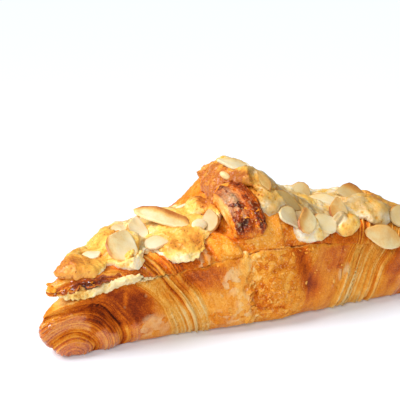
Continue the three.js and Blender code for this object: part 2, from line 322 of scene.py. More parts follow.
# %% [markdown]
# ## White paper
# The floor is matt white paper, lit from below a little, as paper on a light table is. A stronger studio
# light would whiten it too, but would bleach the cream. The glow keeps the paper pale and gives the
# underside of the croissant its bright edge.

# %% Material: white paper
PAPER_COLOUR = "#e3eaf3"
PAPER_GLOW = 0.14

paper, tree = new_material("matt_white_paper")
matt = add(tree, "BsdfDiffuse", {"Color": linear(PAPER_COLOUR)})
glow = add(tree, "Emission", {"Strength": PAPER_GLOW})
shader = add(tree, "AddShader", {0: matt.outputs[0], 1: glow.outputs[0]})
add(tree, "OutputMaterial", {"Surface": shader.outputs[0]})
floor.data.materials.append(paper)
print("made", paper.name)

# %% [markdown]
# ## Baked crust
# Laminated dough brushed with egg: where the wash is thick the crust bakes to a shiny brown, and where
# the layers of dough stay open it bakes to golden lines. Painting it by hand would need a picture.
# Instead each point of the mesh carries numbers: how brown it is, with painted shade added in grooves,
# hollows, cracks and folds and near the floor at the horn's foot, and a painted highlight in one streak;
# how open its layers are and where it lies along them; how crisp and pale its skin has peeled, with one
# pale smear that is partly a painted highlight; how dusty it is with crumbs; and how glossy. The nodes
# turn these into tone, fine lines, blisters and shine.

# %% Material: egg-washed crust
FINE_LINE = 0.6
LINE_RUN = 20.0
LINE_DETAIL = 2.0
BAND_SCALE = 0.3
BAND_DETAIL = 4.0
BLISTER = 4.0
CHIP = 2.4
CHIP_BEND = 3.0
CHIP_DETAIL = 3.0
CRUST_NOISE = {"mottle": (4.5, 5.0), "grain": (0.5, 2.0), "peel": (2.6, 4.0), "speck": (0.75, 1.0)}

crust, tree = new_material("egg_washed_crust")
number = {
    name: add(tree, "Attribute", attribute_name=name).outputs["Fac"]
    for name in ("brown", "layers", "reach", "turn", "crisp", "dust", "gloss")
}
place = add(tree, "TexCoord").outputs["Object"]
line_x = add(tree, "Math", {0: number["reach"], 1: 1 / FINE_LINE}, operation="MULTIPLY").outputs[0]
line_y = add(tree, "Math", {0: number["turn"], 1: 1 / LINE_RUN}, operation="MULTIPLY").outputs[0]
line_place = add(tree, "CombineXYZ", {"X": line_x, "Y": line_y}).outputs[0]
settings = {"Vector": line_place, "Scale": 1.0, "Detail": LINE_DETAIL}
lines = add(tree, "TexNoise", settings).outputs[0]
settings = {"Vector": line_place, "Scale": BAND_SCALE, "Detail": BAND_DETAIL}
wide_lines = add(tree, "TexNoise", settings).outputs[0]
noises = {}
for name, (size, detail) in CRUST_NOISE.items():
    settings = {"Vector": place, "Scale": per_mm(size), "Detail": detail}
    noises[name] = add(tree, "TexNoise", settings).outputs[0]
blister = add(tree, "TexVoronoi", {"Vector": place, "Scale": per_mm(BLISTER)})
settings = {"Vector": place, "Scale": per_mm(CHIP), "Detail": CHIP_DETAIL}
bend = add(tree, "TexNoise", settings).outputs["Color"]
settings = {0: bend, 1: (CHIP_BEND * MM,) * 3, 2: place}
bent = add(tree, "VectorMath", settings, operation="MULTIPLY_ADD").outputs[0]
chips = add(tree, "TexVoronoi", {"Vector": bent, "Scale": per_mm(CHIP)}).outputs["Color"]
chip = add(tree, "SeparateColor", {0: chips}).outputs[0]
print("texture nodes of the crust:", len(tree.nodes))

# %% Material: tone of the crust
LINE_TONE = (0.42, 0.58, -0.2, 0.14)
BAND_TONE = (0.3, 0.7, -0.07, 0.07)
MOTTLE_TONE = (0.3, 0.7, -0.07, 0.07)
GRAIN_TONE = (0.3, 0.7, -0.08, 0.08)
CHIP_TONE = (0.0, 1.0, 0.14, -0.14)
CRUST_TONES = [
    (0.0, "#fbd28a"),
    (0.2, "#f7b04a"),
    (0.4, "#e88c20"),
    (0.6, "#cc5f06"),
    (0.8, "#8f3200"),
    (1.0, "#3a1200"),
]

lined = add(tree, "MapRange", within(lines, LINE_TONE)).outputs[0]
lined = add(tree, "Math", {0: lined, 1: number["layers"]}, operation="MULTIPLY").outputs[0]
banded = add(tree, "MapRange", within(wide_lines, BAND_TONE)).outputs[0]
mottled = add(tree, "MapRange", within(noises["mottle"], MOTTLE_TONE)).outputs[0]
grained = add(tree, "MapRange", within(noises["grain"], GRAIN_TONE)).outputs[0]
chipped = add(tree, "MapRange", within(chip, CHIP_TONE)).outputs[0]
chipped = add(tree, "Math", {0: chipped, 1: number["dust"]}, operation="MULTIPLY").outputs[0]
tone = number["brown"]
for change in (lined, banded, chipped, mottled, grained):
    tone = add(tree, "Math", {0: tone, 1: change}, operation="ADD").outputs[0]
colour = add(tree, "ValToRGB", {"Fac": tone}, CRUST_TONES).outputs[0]
print("tones of the crust:", len(CRUST_TONES))

# %% Material: blisters, peeled skin with a painted highlight, and crumbs on the crust
RARE_ABOVE = 0.9
BUBBLE_SHARE = (0.1, 0.2, 0.2, 0.0)
PEEL_SHARE = (0.36, 0.6, 0.35, 0.75)
OFF_SHARE = (0.46, 0.5, 0.0, 1.0)
CRUMB_SHARE = (0.58, 0.68, 0.0, 0.34)
BUBBLE_COLOUR = "#f2c88c"
PEEL_COLOUR = "#f0c890"
CRUMB_COLOUR = "#f9d69c"

rare = add(tree, "SeparateColor", {0: blister.outputs["Color"]}).outputs[0]
rare = add(tree, "Math", {0: rare, 1: RARE_ABOVE}, operation="GREATER_THAN").outputs[0]
bubble = add(tree, "MapRange", within(blister.outputs["Distance"], BUBBLE_SHARE)).outputs[0]
bubble = add(tree, "Math", {0: bubble, 1: rare}, operation="MULTIPLY").outputs[0]
# Peeled skin turns pale; on the left skin one such smear is partly a painted highlight.
peeled = add(tree, "MapRange", within(noises["peel"], PEEL_SHARE)).outputs[0]
off = add(tree, "MapRange", within(chip, OFF_SHARE)).outputs[0]
for share in (off, number["crisp"]):
    peeled = add(tree, "Math", {0: peeled, 1: share}, operation="MULTIPLY").outputs[0]
crumbed = add(tree, "MapRange", within(noises["speck"], CRUMB_SHARE)).outputs[0]
crumbed = add(tree, "Math", {0: crumbed, 1: number["dust"]}, operation="MULTIPLY").outputs[0]
for share, shade in ((bubble, BUBBLE_COLOUR), (peeled, PEEL_COLOUR), (crumbed, CRUMB_COLOUR)):
    settings = {0: share, 6: colour, 7: linear(shade)}
    colour = add(tree, "Mix", settings, data_type="RGBA").outputs[2]
print("colour nodes of the crust:", len(tree.nodes))

# %% Material: shine of the crust
CRUST_ROUGH = (0.0, 1.0, 0.62, 0.3)
EGG_WASH = (0.5, 0.8, 0.0, 1.0)
CRUST_BUMP = {"Strength": 0.9, "Distance": 0.8 * MM}

rough = add(tree, "MapRange", within(number["gloss"], CRUST_ROUGH)).outputs[0]
coat = add(tree, "MapRange", within(number["gloss"], EGG_WASH)).outputs[0]
height = grained
for change, how in ((lined, "SUBTRACT"), (bubble, "ADD"), (peeled, "ADD"), (chipped, "SUBTRACT")):
    height = add(tree, "Math", {0: height, 1: change}, operation=how).outputs[0]
bump = add(tree, "Bump", {"Height": height, **CRUST_BUMP}).outputs[0]
shader = add(
    tree,
    "BsdfPrincipled",
    {
        "Base Color": colour,
        "Roughness": rough,
        "Normal": bump,
        "IOR": 1.4,
        "Specular IOR Level": 0.15,
        "Coat Weight": coat,
        "Coat Roughness": 0.12,
    },
)
add(tree, "OutputMaterial", {"Surface": shader.outputs[0]})
print("made", crust.name)

# %% [markdown]
# ## Almond cream
# Baked almond cream is a coarse sponge. Inside it is ivory, and its skin toasts from yellow to orange
# brown on the places that the oven's heat reaches first. Where it stayed moist it is a duller beige, and
# the same beige tint also paints the shade that falls on the dome and on the cream to its right. One noise
# could mix the tones anywhere, but here each point carries how toasted it is, with painted shade in two
# spots, and how moist and shaded it is, so that they sit where the baking and the shade put them. Pores
# are small pits that the nodes darken, and a little light passes into the surface.

# %% Material: baked almond cream
CREAM_GRAIN = 0.8
CREAM_LUMP = 4.0
CREAM_DETAIL = 3.0
PORE = 1.5
PORE_SHARE = (0.12, 0.26, 1.0, 0.0)
PORE_TOAST = 0.3
CREAM_BUMP = {"Strength": 0.7, "Distance": 0.6 * MM}
MOIST_TINT = "#c8b48e"
CREAM_TONES = [
    (0.0, "#f8ebd0"),
    (0.25, "#f9da9a"),
    (0.5, "#f6c258"),
    (0.75, "#ea9f3a"),
    (1.0, "#c06a22"),
]

cream, tree = new_material("baked_almond_cream")
toast = add(tree, "Attribute", attribute_name="toast").outputs["Fac"]
moist = add(tree, "Attribute", attribute_name="moist").outputs["Fac"]
place = add(tree, "TexCoord").outputs["Object"]
coarse = []
for size in (CREAM_GRAIN, CREAM_LUMP):
    settings = {"Vector": place, "Scale": per_mm(size), "Detail": CREAM_DETAIL}
    source = add(tree, "TexNoise", settings).outputs[0]
    coarse.append(add(tree, "MapRange", within(source, GRAIN_TONE)).outputs[0])
pores = add(tree, "TexVoronoi", {"Vector": place, "Scale": per_mm(PORE)}).outputs["Distance"]
pitted = add(tree, "MapRange", within(pores, PORE_SHARE)).outputs[0]
pitted = add(tree, "Math", {0: pitted, 1: toast}, operation="MULTIPLY").outputs[0]
tone = toast
for change in coarse:
    tone = add(tree, "Math", {0: tone, 1: change}, operation="ADD").outputs[0]
tone = add(tree, "Math", {0: pitted, 1: PORE_TOAST, 2: tone}, operation="MULTIPLY_ADD").outputs[0]
colour = add(tree, "ValToRGB", {"Fac": tone}, CREAM_TONES).outputs[0]
# The moist beige tint is partly moisture and partly painted shade.
wet = {0: moist, 6: colour, 7: linear(MOIST_TINT)}
colour = add(tree, "Mix", wet, data_type="RGBA", blend_type="MULTIPLY").outputs[2]
height = add(tree, "Math", {0: coarse[0], 1: coarse[1]}, operation="ADD").outputs[0]
height = add(tree, "Math", {0: height, 1: pitted}, operation="SUBTRACT").outputs[0]
bump = add(tree, "Bump", {"Height": height, **CREAM_BUMP}).outputs[0]
shader = add(
    tree,
    "BsdfPrincipled",
    {
        "Base Color": colour,
        "Roughness": 0.38,
        "Normal": bump,
        "IOR": 1.45,
        "Subsurface Weight": 0.3,
        "Subsurface Radius": (1.0, 0.6, 0.3),
        "Subsurface Scale": 1.5 * MM,
    },
)
add(tree, "OutputMaterial", {"Surface": shader.outputs[0]})
print("made", cream.name)

# %% [markdown]
# ## Sliced almond
# A blanched almond cut across: smooth, ivory and faintly fibrous, with a rim that toasts first. A ramp
# from the slice's middle would toast every rim alike. Here the toasting is a number on each point, so
# each slice can have its own. Slices that lie in moist cream took on its beige, and on the slices in
# shade the same beige tint is painted shade, as a second number says.

# %% Material: sliced almond
FIBRE = 0.7
CLOUD = 5.0
ALMOND_DETAIL = 2.0
FIBRE_TONE = (0.3, 0.7, -0.05, 0.05)
CLOUD_TONE = (0.3, 0.7, -0.12, 0.12)
ALMOND_BUMP = {"Strength": 0.15, "Distance": 0.3 * MM}
ALMOND_TONES = [
    (0.0, "#f4e8c8"),
    (0.3, "#f0d8a0"),
    (0.6, "#e6b060"),
    (1.0, "#b4682a"),
]

almond, tree = new_material("sliced_blanched_almond")
toast = add(tree, "Attribute", attribute_name="toast").outputs["Fac"]
moist = add(tree, "Attribute", attribute_name="moist").outputs["Fac"]
place = add(tree, "TexCoord").outputs["Object"]
settings = {"Vector": place, "Scale": per_mm(FIBRE), "Detail": ALMOND_DETAIL}
fibre = add(tree, "TexNoise", settings).outputs[0]
settings = {"Vector": place, "Scale": per_mm(CLOUD), "Detail": ALMOND_DETAIL}
cloud = add(tree, "TexNoise", settings).outputs[0]
tone = toast
for source, limits in ((fibre, FIBRE_TONE), (cloud, CLOUD_TONE)):
    change = add(tree, "MapRange", within(source, limits)).outputs[0]
    tone = add(tree, "Math", {0: tone, 1: change}, operation="ADD").outputs[0]
colour = add(tree, "ValToRGB", {"Fac": tone}, ALMOND_TONES).outputs[0]
# The moist beige tint is partly moisture and partly painted shade on the slices in shade.
wet = {0: moist, 6: colour, 7: linear(MOIST_TINT)}
colour = add(tree, "Mix", wet, data_type="RGBA", blend_type="MULTIPLY").outputs[2]
bump = add(tree, "Bump", {"Height": fibre, **ALMOND_BUMP}).outputs[0]
shader = add(
    tree,
    "BsdfPrincipled",
    {
        "Base Color": colour,
        "Roughness": 0.42,
        "Normal": bump,
        "IOR": 1.46,
        "Subsurface Weight": 0.2,
        "Subsurface Radius": (1.0, 0.7, 0.4),
        "Subsurface Scale": 1.0 * MM,
    },
)
add(tree, "OutputMaterial", {"Surface": shader.outputs[0]})
print("made", almond.name)

# %% [markdown]
# ## Crumb of the filling
# Where the knife opened the roll, the filling is torn and crumbly: pale, dry and full of small pits, and
# golden where it baked at the end of the slit. The pits are real relief further down. The nodes only add
# the finest grain to the tone.

# %% Material: crumbly filling
CRUMB = 0.8
CRUMB_DETAIL = 3.0
CRUMB_TONE = (0.3, 0.7, 0.2, -0.2)
CRUMB_BUMP = {"Strength": 0.6, "Distance": 0.6 * MM}
FILLING_TONES = [
    (0.0, "#efd6a2"),
    (0.5, "#efc46e"),
    (0.8, "#dd9a3a"),
    (1.0, "#8a4a14"),
]

crumb, tree = new_material("crumbly_almond_filling")
toast = add(tree, "Attribute", attribute_name="toast").outputs["Fac"]
place = add(tree, "TexCoord").outputs["Object"]
settings = {"Vector": place, "Scale": per_mm(CRUMB), "Detail": CRUMB_DETAIL}
grain = add(tree, "TexNoise", settings).outputs[0]
grained = add(tree, "MapRange", within(grain, CRUMB_TONE)).outputs[0]
tone = add(tree, "Math", {0: toast, 1: grained}, operation="ADD").outputs[0]
colour = add(tree, "ValToRGB", {"Fac": tone}, FILLING_TONES).outputs[0]
bump = add(tree, "Bump", {"Height": grain, **CRUMB_BUMP}).outputs[0]
settings = {"Base Color": colour, "Roughness": 0.8, "Normal": bump, "IOR": 1.4}
shader = add(tree, "BsdfPrincipled", settings)
add(tree, "OutputMaterial", {"Surface": shader.outputs[0]})
print("made", crumb.name)

# %% [markdown]
# ## How the roll is wrapped
# A croissant is a triangle of dough rolled from its base. Every turn ends in an edge that runs round the
# horn, so the distance from the horn's tip says which turn a point is on: rolled rings round the tip, a
# smooth washed band, a band of open layers with strands of dough, another smooth band, and the middle
# turn. Below the cut the left horn's strands lean towards the middle. Both halves use the same rule, so
# that the bands meet at the cut.

# %% Bands round the horns
HORN_TIPS = np.array([[-74.0, -23.7, 2.0], [76.0, -23.7, 2.0]])
CURL_CENTRES = np.array([[-79.0, -24.6, 1.0], [81.0, -24.6, 1.0]])
CURL_BLEND = (12.0, 28.0)
RINGS_END = (19.0, 21.5)
LAYERS_START = (27.5, 30.0)
LAYERS_END = np.array([43.5, 49.0])
LAYERS_FADE = 3.0
MIDDLE_START = (64.5, 65.5)
WAVER = [(1.0, 14.0)]
TURN_LONG = 20.0
HORNS_APART = 50.0
LEFT_HORN = 0
LEAN = 0.2
LEAN_START = (22.0, 30.0)
LEAN_END = (48.0, 60.0)
WANDER_LANES = (24.0, 24.0, 9.0)
WANDER_START = (6.0, 30.0)
OPEN_LANES = (5.0, 28.0, 7.0)
OPEN_SEED = 2.0
OPEN_SHARE = (-0.5, 0.3)
ROLL_PITCH = 10.2
ROLL_WANDER = 0.1
ROLL_ROUND = 2.4
FIRST_GROOVE = 9.0
PLY_PITCH = 1.5
PLY_WANDER = 1.6
PLY_RISE = 0.2
PLY_MEAN = 0.4
CUT_LOW = 23.5
CUT_RISE = 8.0
CUT_SPREAD = 44.5
GAPE_START = (42.0, 56.0)
GAPE_END = (80.0, 92.0)
DROOP_START = (64.0, 74.0)


def rolled(phase):
    return 1 - np.abs(2 * (phase % 1) - 1) ** ROLL_ROUND


def terrace(phase):
    share = phase % 1
    return ramp(share, 0, PLY_RISE) * (1 - share) - PLY_MEAN


def knife(x):
    return CUT_LOW + CUT_RISE * bell(x, 0, CUT_SPREAD)


def gaping(x):
    return ramp(-x, *GAPE_START) * (1 - ramp(-x, *GAPE_END))


def drooping(x):
    return ramp(-x, *DROOP_START)


at_horn = round(knife(HORN_TIPS[0, 0]), 1)
print("the cut is", knife(0), "mm high in the middle and", at_horn, "at the left horn")

# %% Strands of the open layers
STRANDS = (
    (29.6, 31.0, 32.3, 33.7, 35.5, 36.8, 38.2, 39.5, 41.0, 42.4),
    (30.2, 31.6, 34.2, 35.4, 36.8, 38.2, 40.4, 41.6, 43.0, 45.4, 46.6, 48.0),
)
STRAND_SEED = 11
STRAND_PROUD = (0.65, 1.0)
STRAND_WIDE = (0.42, 0.6)
STRAND_NEAR = 4.0
STRAND_RUN = 24.0
STRAND_SWAY = [(1.3, 1.0, 2)]
STRAND_FADE = [(0.6, 0.6, 1, 4.0)]
STRAND_FULL = 0.85
FADE_LIMITS = (0.4, 1.2)
NOT_ZERO = 0.01


def strands_at(reach, turn, horn):
    ridge = np.zeros(len(reach))
    draw = np.random.default_rng(STRAND_SEED)
    for side, centres in enumerate(STRANDS):
        for centre in centres:
            proud = draw.uniform(*STRAND_PROUD)
            wide = draw.uniform(*STRAND_WIDE)
            close = (horn == side) & (np.abs(reach - centre) < STRAND_NEAR)
            lane = np.c_[turn[close] / STRAND_RUN, np.full(close.sum(), centre), np.zeros(close.sum())]
            fade = np.clip(STRAND_FULL + bumps(lane, STRAND_FADE), *FADE_LIMITS)
            strand = proud * fade * bell(reach[close] + bumps(lane, STRAND_SWAY), centre, wide)
            ridge[close] = np.maximum(ridge[close], strand)
    return ridge


def in_lanes(reach, turn, horn, across, along, apart):
    return np.c_[reach / across, turn / along, apart * horn]


def wraps(points):
    away = np.linalg.norm(points[:, None] - HORN_TIPS[None], axis=2)
    horn = away.argmin(1)
    away = away.min(1)
    from_curl = np.linalg.norm(points - CURL_CENTRES[horn], axis=1)
    share = ramp(away, *CURL_BLEND)
    reach = from_curl * (1 - share) + away * share + bumps(points, WAVER)
    leaning = ramp(away, *LEAN_START) * (1 - ramp(away, *LEAN_END)) * (horn == LEFT_HORN)
    reach -= LEAN * leaning * np.maximum(CUT_LOW - points[:, 2], 0)
    from_tip = points - HORN_TIPS[horn]
    round_tip = np.arctan2(from_tip[:, 2], np.abs(from_tip[:, 0]) + NOT_ZERO)
    to_back = np.arctan2(from_tip[:, 1], np.hypot(from_tip[:, 0], from_tip[:, 2]))
    turn = TURN_LONG * (round_tip + to_back) + HORNS_APART * horn
    wander = uneven(in_lanes(reach, turn, horn, *WANDER_LANES), 1.0) * ramp(away, *WANDER_START)
    opening = uneven(in_lanes(reach, turn, horn, *OPEN_LANES), 1.0, seed=OPEN_SEED)
    return {
        "reach": reach,
        "turn": turn,
        "rings": 1 - ramp(away, *RINGS_END),
        "layers": ramp(reach, *LAYERS_START) * (1 - ramp(reach - LAYERS_END[horn], 0, LAYERS_FADE)),
        "middle": ramp(reach, *MIDDLE_START),
        "roll": rolled((reach - FIRST_GROOVE) / ROLL_PITCH + ROLL_WANDER * wander),
        "ply": reach / PLY_PITCH + PLY_WANDER * wander,
        "strands": strands_at(reach, turn, horn),
        "open": ramp(opening, *OPEN_SHARE),
    }


print("strands at the left and right horn:", [len(centres) for centres in STRANDS])

# %% [markdown]
# ## Lower half
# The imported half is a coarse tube. Its triangles are joined to quads, the knife's edge is creased so that
# it stays crisp, and Subdivision Surface makes the rest round and fine enough for relief. Sculpting would
# give the relief too, but not twice the same. So every point moves along its normal by a rule: rolls
# round the horn, strands of dough in the open layers, a torn edge where the left turn ends over the
# middle one, and a groove where the right turn begins.

# %% Lower half: a fine mesh
QUAD_BEND = np.radians(70)
QUAD_SHAPE = np.radians(120)
SHARP = np.radians(48)
CUT_CREASE = 0.7
FINE_LEVELS = 3

lower = copy_of_node("lower_half", "lower_crust")
in_edit_mode(
    lower,
    (bpy.ops.mesh.tris_convert_to_quads, {"face_threshold": QUAD_BEND, "shape_threshold": QUAD_SHAPE}),
    (bpy.ops.mesh.select_all, {"action": "DESELECT"}),
    (bpy.ops.mesh.edges_select_sharp, {"sharpness": SHARP}),
    (bpy.ops.transform.edge_crease, {"value": CUT_CREASE}),
)
modify(lower, "SUBSURF", levels=FINE_LEVELS, render_levels=FINE_LEVELS)
print("lower half points:", len(lower.data.vertices))

# %% Lower half: edges, cracks and grooves
LEFT_EDGE = [(-12.6, 33.0), (-12.0, 20.0), (-13.4, 12.0), (-9.0, 2.0), (-8.0, 0.0)]
RIGHT_EDGE = [(8.6, 33.0), (11.6, 25.0), (14.5, 18.3), (16.5, 12.3), (19.0, 0.0)]
CRACKS = [
    [(-4.6, 22.8), (-2.0, 24.4), (1.5, 24.9), (4.2, 23.9), (6.4, 22.6)],
    [(-9.0, 8.0), (-4.0, 9.4), (2.0, 7.6)],
]
LOWER_FRONT = (5.0, 15.0)
JAG = [(4.5, 8.0, 3, 5.0), (1.4, 2.2, 2, 5.0)]
RIGHT_JAG = 0.12
CRACK_JAG = 0.3
CRACK_WIDE = 0.8
CRUMBS = (1.5, 3, 2.0)
TORN_BAND = (2.2, 2.2)
CAVITY_BAND = (2.0, 2.0)
CAVITY_NOISE = (3.0, 3, 3.0)
CAVITY_SHARE = (-0.2, 0.4)
LEFT_RISE = (-0.4, 0.4)
LEFT_FALL = 9.0
RIGHT_RISE = (-0.4, 0.6)
RIGHT_FALL = 6.0
GROOVE_BAND = (-1.6, 3.6)
GROOVE_ABOVE = (6.0, 16.0)

points = points_of(lower)
normals = normals_of(lower)
x, y, z = points.T
bands = wraps(points)
front = ramp(-y, *LOWER_FRONT)
jag = bumps(points, JAG)
left_edge = path_in_front(points, LEFT_EDGE)[1] + jag
right_edge = path_in_front(points, RIGHT_EDGE)[1] + RIGHT_JAG * jag
from_cracks = [path_in_front(points, path)[0] + CRACK_JAG * jag for path in CRACKS]
crack = sum(bell(away, 0, CRACK_WIDE) for away in from_cracks) * front
crumbs = uneven(points, *CRUMBS)
torn = bell(left_edge, *TORN_BAND) * front
cavity = bell(left_edge, *CAVITY_BAND) * ramp(uneven(points, *CAVITY_NOISE), *CAVITY_SHARE)
step_left = ramp(-left_edge, *LEFT_RISE) * bell(left_edge, 0, LEFT_FALL)
step_right = ramp(right_edge, *RIGHT_RISE) * bell(right_edge, 0, RIGHT_FALL)
groove = bell(right_edge, *GROOVE_BAND) * ramp(z, *GROOVE_ABOVE)
print("points near the torn edge:", int((torn > 0.5).sum()))

# %% Lower half: relief
ROLL_HIGH = 2.0
ROLL_SUNK = 1.3
PLY_HIGH = 0.5
STRAND_HIGH = 1.7
STRAND_SUNK = 0.6
DOUGH_BUMPS = [(0.2, 7.0, 3), (0.14, 1.4, 2)]
MIDDLE_BUMPS = [(0.45, 6.0, 3), (0.4, 1.8, 3)]
TORN_HIGH = 0.6
TORN_SUNK = 0.4
LEFT_HIGH = 0.9
CAVITY_DEEP = 0.8
RIGHT_HIGH = 0.6
GROOVE_DEEP = 0.9
CRACK_DEEP = 0.7
UNDERSIDE = (0.75, 0.95)
TIP_BULGE = 2.0
TIP_START = (78.0, 88.0)
TIP_BAND = (14.0, 9.0)
RIM_CHIPS = (2.6, 3, 4.0)
RIM_SHARE = (0.0, 0.7)
RIM_NEAR = (0.5, 2.5)
GAPE_UP = 0.5
DROOP_DOWN = 1.5
CLOSED_UP = 0.5
CLOSED_START = (-30.0, -10.0)
CLOSING_NEAR = (1.0, 8.0)

lift = bands["rings"] * (ROLL_HIGH * bands["roll"] - ROLL_SUNK + PLY_HIGH * terrace(bands["ply"]))
lift += bands["layers"] * (STRAND_HIGH * bands["strands"] - STRAND_SUNK)
lift += bumps(points, DOUGH_BUMPS)
lift += torn * (TORN_HIGH * crumbs - TORN_SUNK)
lift += bands["middle"] * bumps(points, MIDDLE_BUMPS)
edges = LEFT_HIGH * step_left - CAVITY_DEEP * cavity
edges = edges + RIGHT_HIGH * step_right - GROOVE_DEEP * groove
lift += front * edges
lift -= CRACK_DEEP * crack
lift *= 1 - ramp(-normals[:, 2], *UNDERSIDE)
moved = points + normals * lift[:, None]
moved[:, 0] -= TIP_BULGE * ramp(-x, *TIP_START) * bell(z, *TIP_BAND)
below_cut = knife(x) - z
moved[:, 2] -= ramp(uneven(points, *RIM_CHIPS), *RIM_SHARE) * (1 - ramp(below_cut, *RIM_NEAR))
closing = GAPE_UP * gaping(x) - DROOP_DOWN * drooping(x) + CLOSED_UP * ramp(x, *CLOSED_START)
moved[:, 2] += closing * (1 - ramp(below_cut, *CLOSING_NEAR))
moved[:, 2] = np.maximum(moved[:, 2], 0)
move_points(lower, moved)
print("lower half: relief from", round(lift.min(), 1), "to", round(lift.max(), 1), "mm")

# %% Lower half: browning, painted shade and a painted glint
MAHOGANY = [
    ((-64.0, -25.0, 16.8), (11.5, 15.0, 8.2), 0.35, 0.3),
    ((-69.5, -25.0, 20.5), (10.0, 15.0, 4.4), 0.4, 0.2),
    ((-55.0, -25.0, 16.0), (5.0, 15.0, 6.0), 0.25, 0.26),
]
MAHOGANY_END = (28.8, 30.0)
# Browner and paler spots of the crust; the first, a lighter streak in the dark patch, is a painted
# highlight.
LOWER_PATCHES = [
    ((-59.8, -25.0, 19.5), (0.8, 15.0, 2.4), 0.4, -0.2),
    ((-59.0, -25.0, 5.0), (8.0, 15.0, 4.5), 0.4, -0.05),
    ((-51.6, -25.0, 6.4), (1.6, 15.0, 1.8), 0.4, 0.16),
    ((-39.0, -26.0, 22.0), (4.5, 15.0, 6.5), 0.5, 0.14),
    ((-31.5, -27.0, 25.0), (9.0, 15.0, 6.0), 0.7, 0.15),
    ((-26.0, -28.0, 13.0), (11.0, 15.0, 7.0), 0.6, -0.12),
    ((-8.0, -29.0, 13.5), (4.0, 15.0, 8.0), 0.5, 0.13),
    ((28.0, -28.0, 24.5), (6.5, 15.0, 5.0), 0.5, 0.13),
    ((24.0, -28.0, 9.0), (9.0, 15.0, 6.0), 0.6, -0.05),
    ((55.0, -25.0, 16.0), (6.0, 15.0, 7.0), 0.4, 0.16),
]
RAGGED = [(0.25, 5.0, 4, 8.0)]
CLOUDS = [(0.07, 18.0, 2)]
CUT_FACING = (0.8, 0.97)
CUT_TONE = 0.12
LOWER_TONE = 0.42
SKIN_TONE = 0.05
RING_TONE = 0.05
RING_GROOVE = (0.0, 0.3)
RING_GROOVE_TONE = 0.2
PLY_TONE = 0.16
LAYER_TONE = 0.02
STRAND_TONE = 0.28
FOOT = (1.0, 9.0)
FOOT_TONE = 0.1
RIM_WIDE = 0.7
RIM_TONE = 0.12
CRACK_TONE = 0.16
CAVITY_TONE = 0.15
GROOVE_TONE = 0.26
EDGE_BAND = (-2.5, 3.0)
EDGE_TONE = 0.19
TORN_TONE = 0.2
TORN_CRUMB_TONE = 0.25
HORN_FOOT = (3.0, 13.0)
HORN_FOOT_TONE = 0.1

ragged = bumps(points, RAGGED)
cut_face = ramp(normals[:, 2], *CUT_FACING)
rim = bell(below_cut, 0, RIM_WIDE)
edge = bell(left_edge, *EDGE_BAND)
skin = (1 - bands["layers"]) * (1 - bands["rings"]) * (1 - bands["middle"])
mahogany = np.max([amount * patch(points, ragged, *spot) for *spot, amount in MAHOGANY], axis=0)
mahogany *= 1 - ramp(bands["reach"], *MAHOGANY_END)
ring_groove = 1 - ramp(bands["roll"], *RING_GROOVE)
browning = LOWER_TONE + bumps(points, CLOUDS) + SKIN_TONE * skin
# Darker in the grooves between the horn's rolls and under each ply step: painted shade.
browning += bands["rings"] * (RING_TONE + RING_GROOVE_TONE * ring_groove - PLY_TONE * terrace(bands["ply"]))
browning -= bands["layers"] * (LAYER_TONE + STRAND_TONE * bands["strands"])
browning += mahogany + patches(points, ragged, LOWER_PATCHES)
browning -= FOOT_TONE * (1 - ramp(z, *FOOT)) * (1 - bands["rings"]) + RIM_TONE * rim
# Darker in the cracks, in the cavity beside the torn edge and in the groove: painted shade.
browning += CRACK_TONE * crack + front * (CAVITY_TONE * cavity + GROOVE_TONE * groove - EDGE_TONE * edge)
# The torn dough is paler, and darker in the hollows between its crumbs: partly painted shade.
browning -= torn * (TORN_TONE + TORN_CRUMB_TONE * crumbs)
# Darker near the floor at the horn's foot: painted shade.
browning += HORN_FOOT_TONE * bands["rings"] * (1 - ramp(z, *HORN_FOOT))
browning = browning * (1 - cut_face) + CUT_TONE * cut_face
print("lower half: browning is", round(browning.mean(), 2), "on average")

# %% Lower half: skin, dust and gloss
# Pale crisp spots where the skin peeled; the second, a pale smear on the left skin, is partly a painted
# highlight.
CRISP = [
    ((-48.8, -25.0, 7.4), (5.5, 15.0, 4.5), 0.3, 0.7),
    ((-19.2, -28.0, 22.0), (3.2, 15.0, 5.6), 0.4, 0.9),
    ((-23.3, -28.0, 18.6), (0.9, 15.0, 2.6), 0.3, 0.9),
    ((-28.7, -27.0, 8.7), (2.2, 15.0, 0.7), 0.3, 1.0),
    ((-21.6, -27.0, 6.9), (8.0, 15.0, 3.6), 0.5, 0.6),
    ((-14.0, -28.0, 11.3), (3.6, 15.0, 6.0), 0.4, 0.7),
    ((27.6, -28.0, 16.8), (0.8, 15.0, 2.2), 0.3, 1.0),
    ((31.2, -28.0, 17.0), (1.7, 15.0, 3.2), 0.4, 0.9),
    ((22.5, -28.0, 20.0), (0.8, 15.0, 0.8), 0.3, 0.9),
]
RING_LAYERS = 0.55
DUST = 0.25
MIDDLE_DUST = 0.6
TORN_DUST = 0.5
DARK_SKIN = (0.05, 0.2)
DARK_DULL = 0.5
SKIN_GLOSS = 0.55
LAYER_GLOSS = 0.3
STRAND_GLOSS = 0.3

dark = ramp(mahogany, *DARK_SKIN)
dusty = np.clip(MIDDLE_DUST * bands["middle"] + DUST + TORN_DUST * torn - groove, 0, 1)
shine = SKIN_GLOSS * skin + bands["rings"] * bands["roll"]
shine += (LAYER_GLOSS + STRAND_GLOSS * bands["strands"]) * bands["layers"]
store(
    lower,
    brown=browning,
    layers=np.maximum(bands["layers"] * bands["open"], RING_LAYERS * bands["rings"]) * (1 - cut_face),
    reach=bands["reach"],
    turn=bands["turn"],
    crisp=np.clip(patches(points, ragged, CRISP), 0, 1),
    dust=dusty * (1 - dark),
    gloss=np.clip(shine, 0, 1) * (1 - cut_face) * (1 - DARK_DULL * dark),
)
finish_piece(lower, crust, "crust", "lower_half")

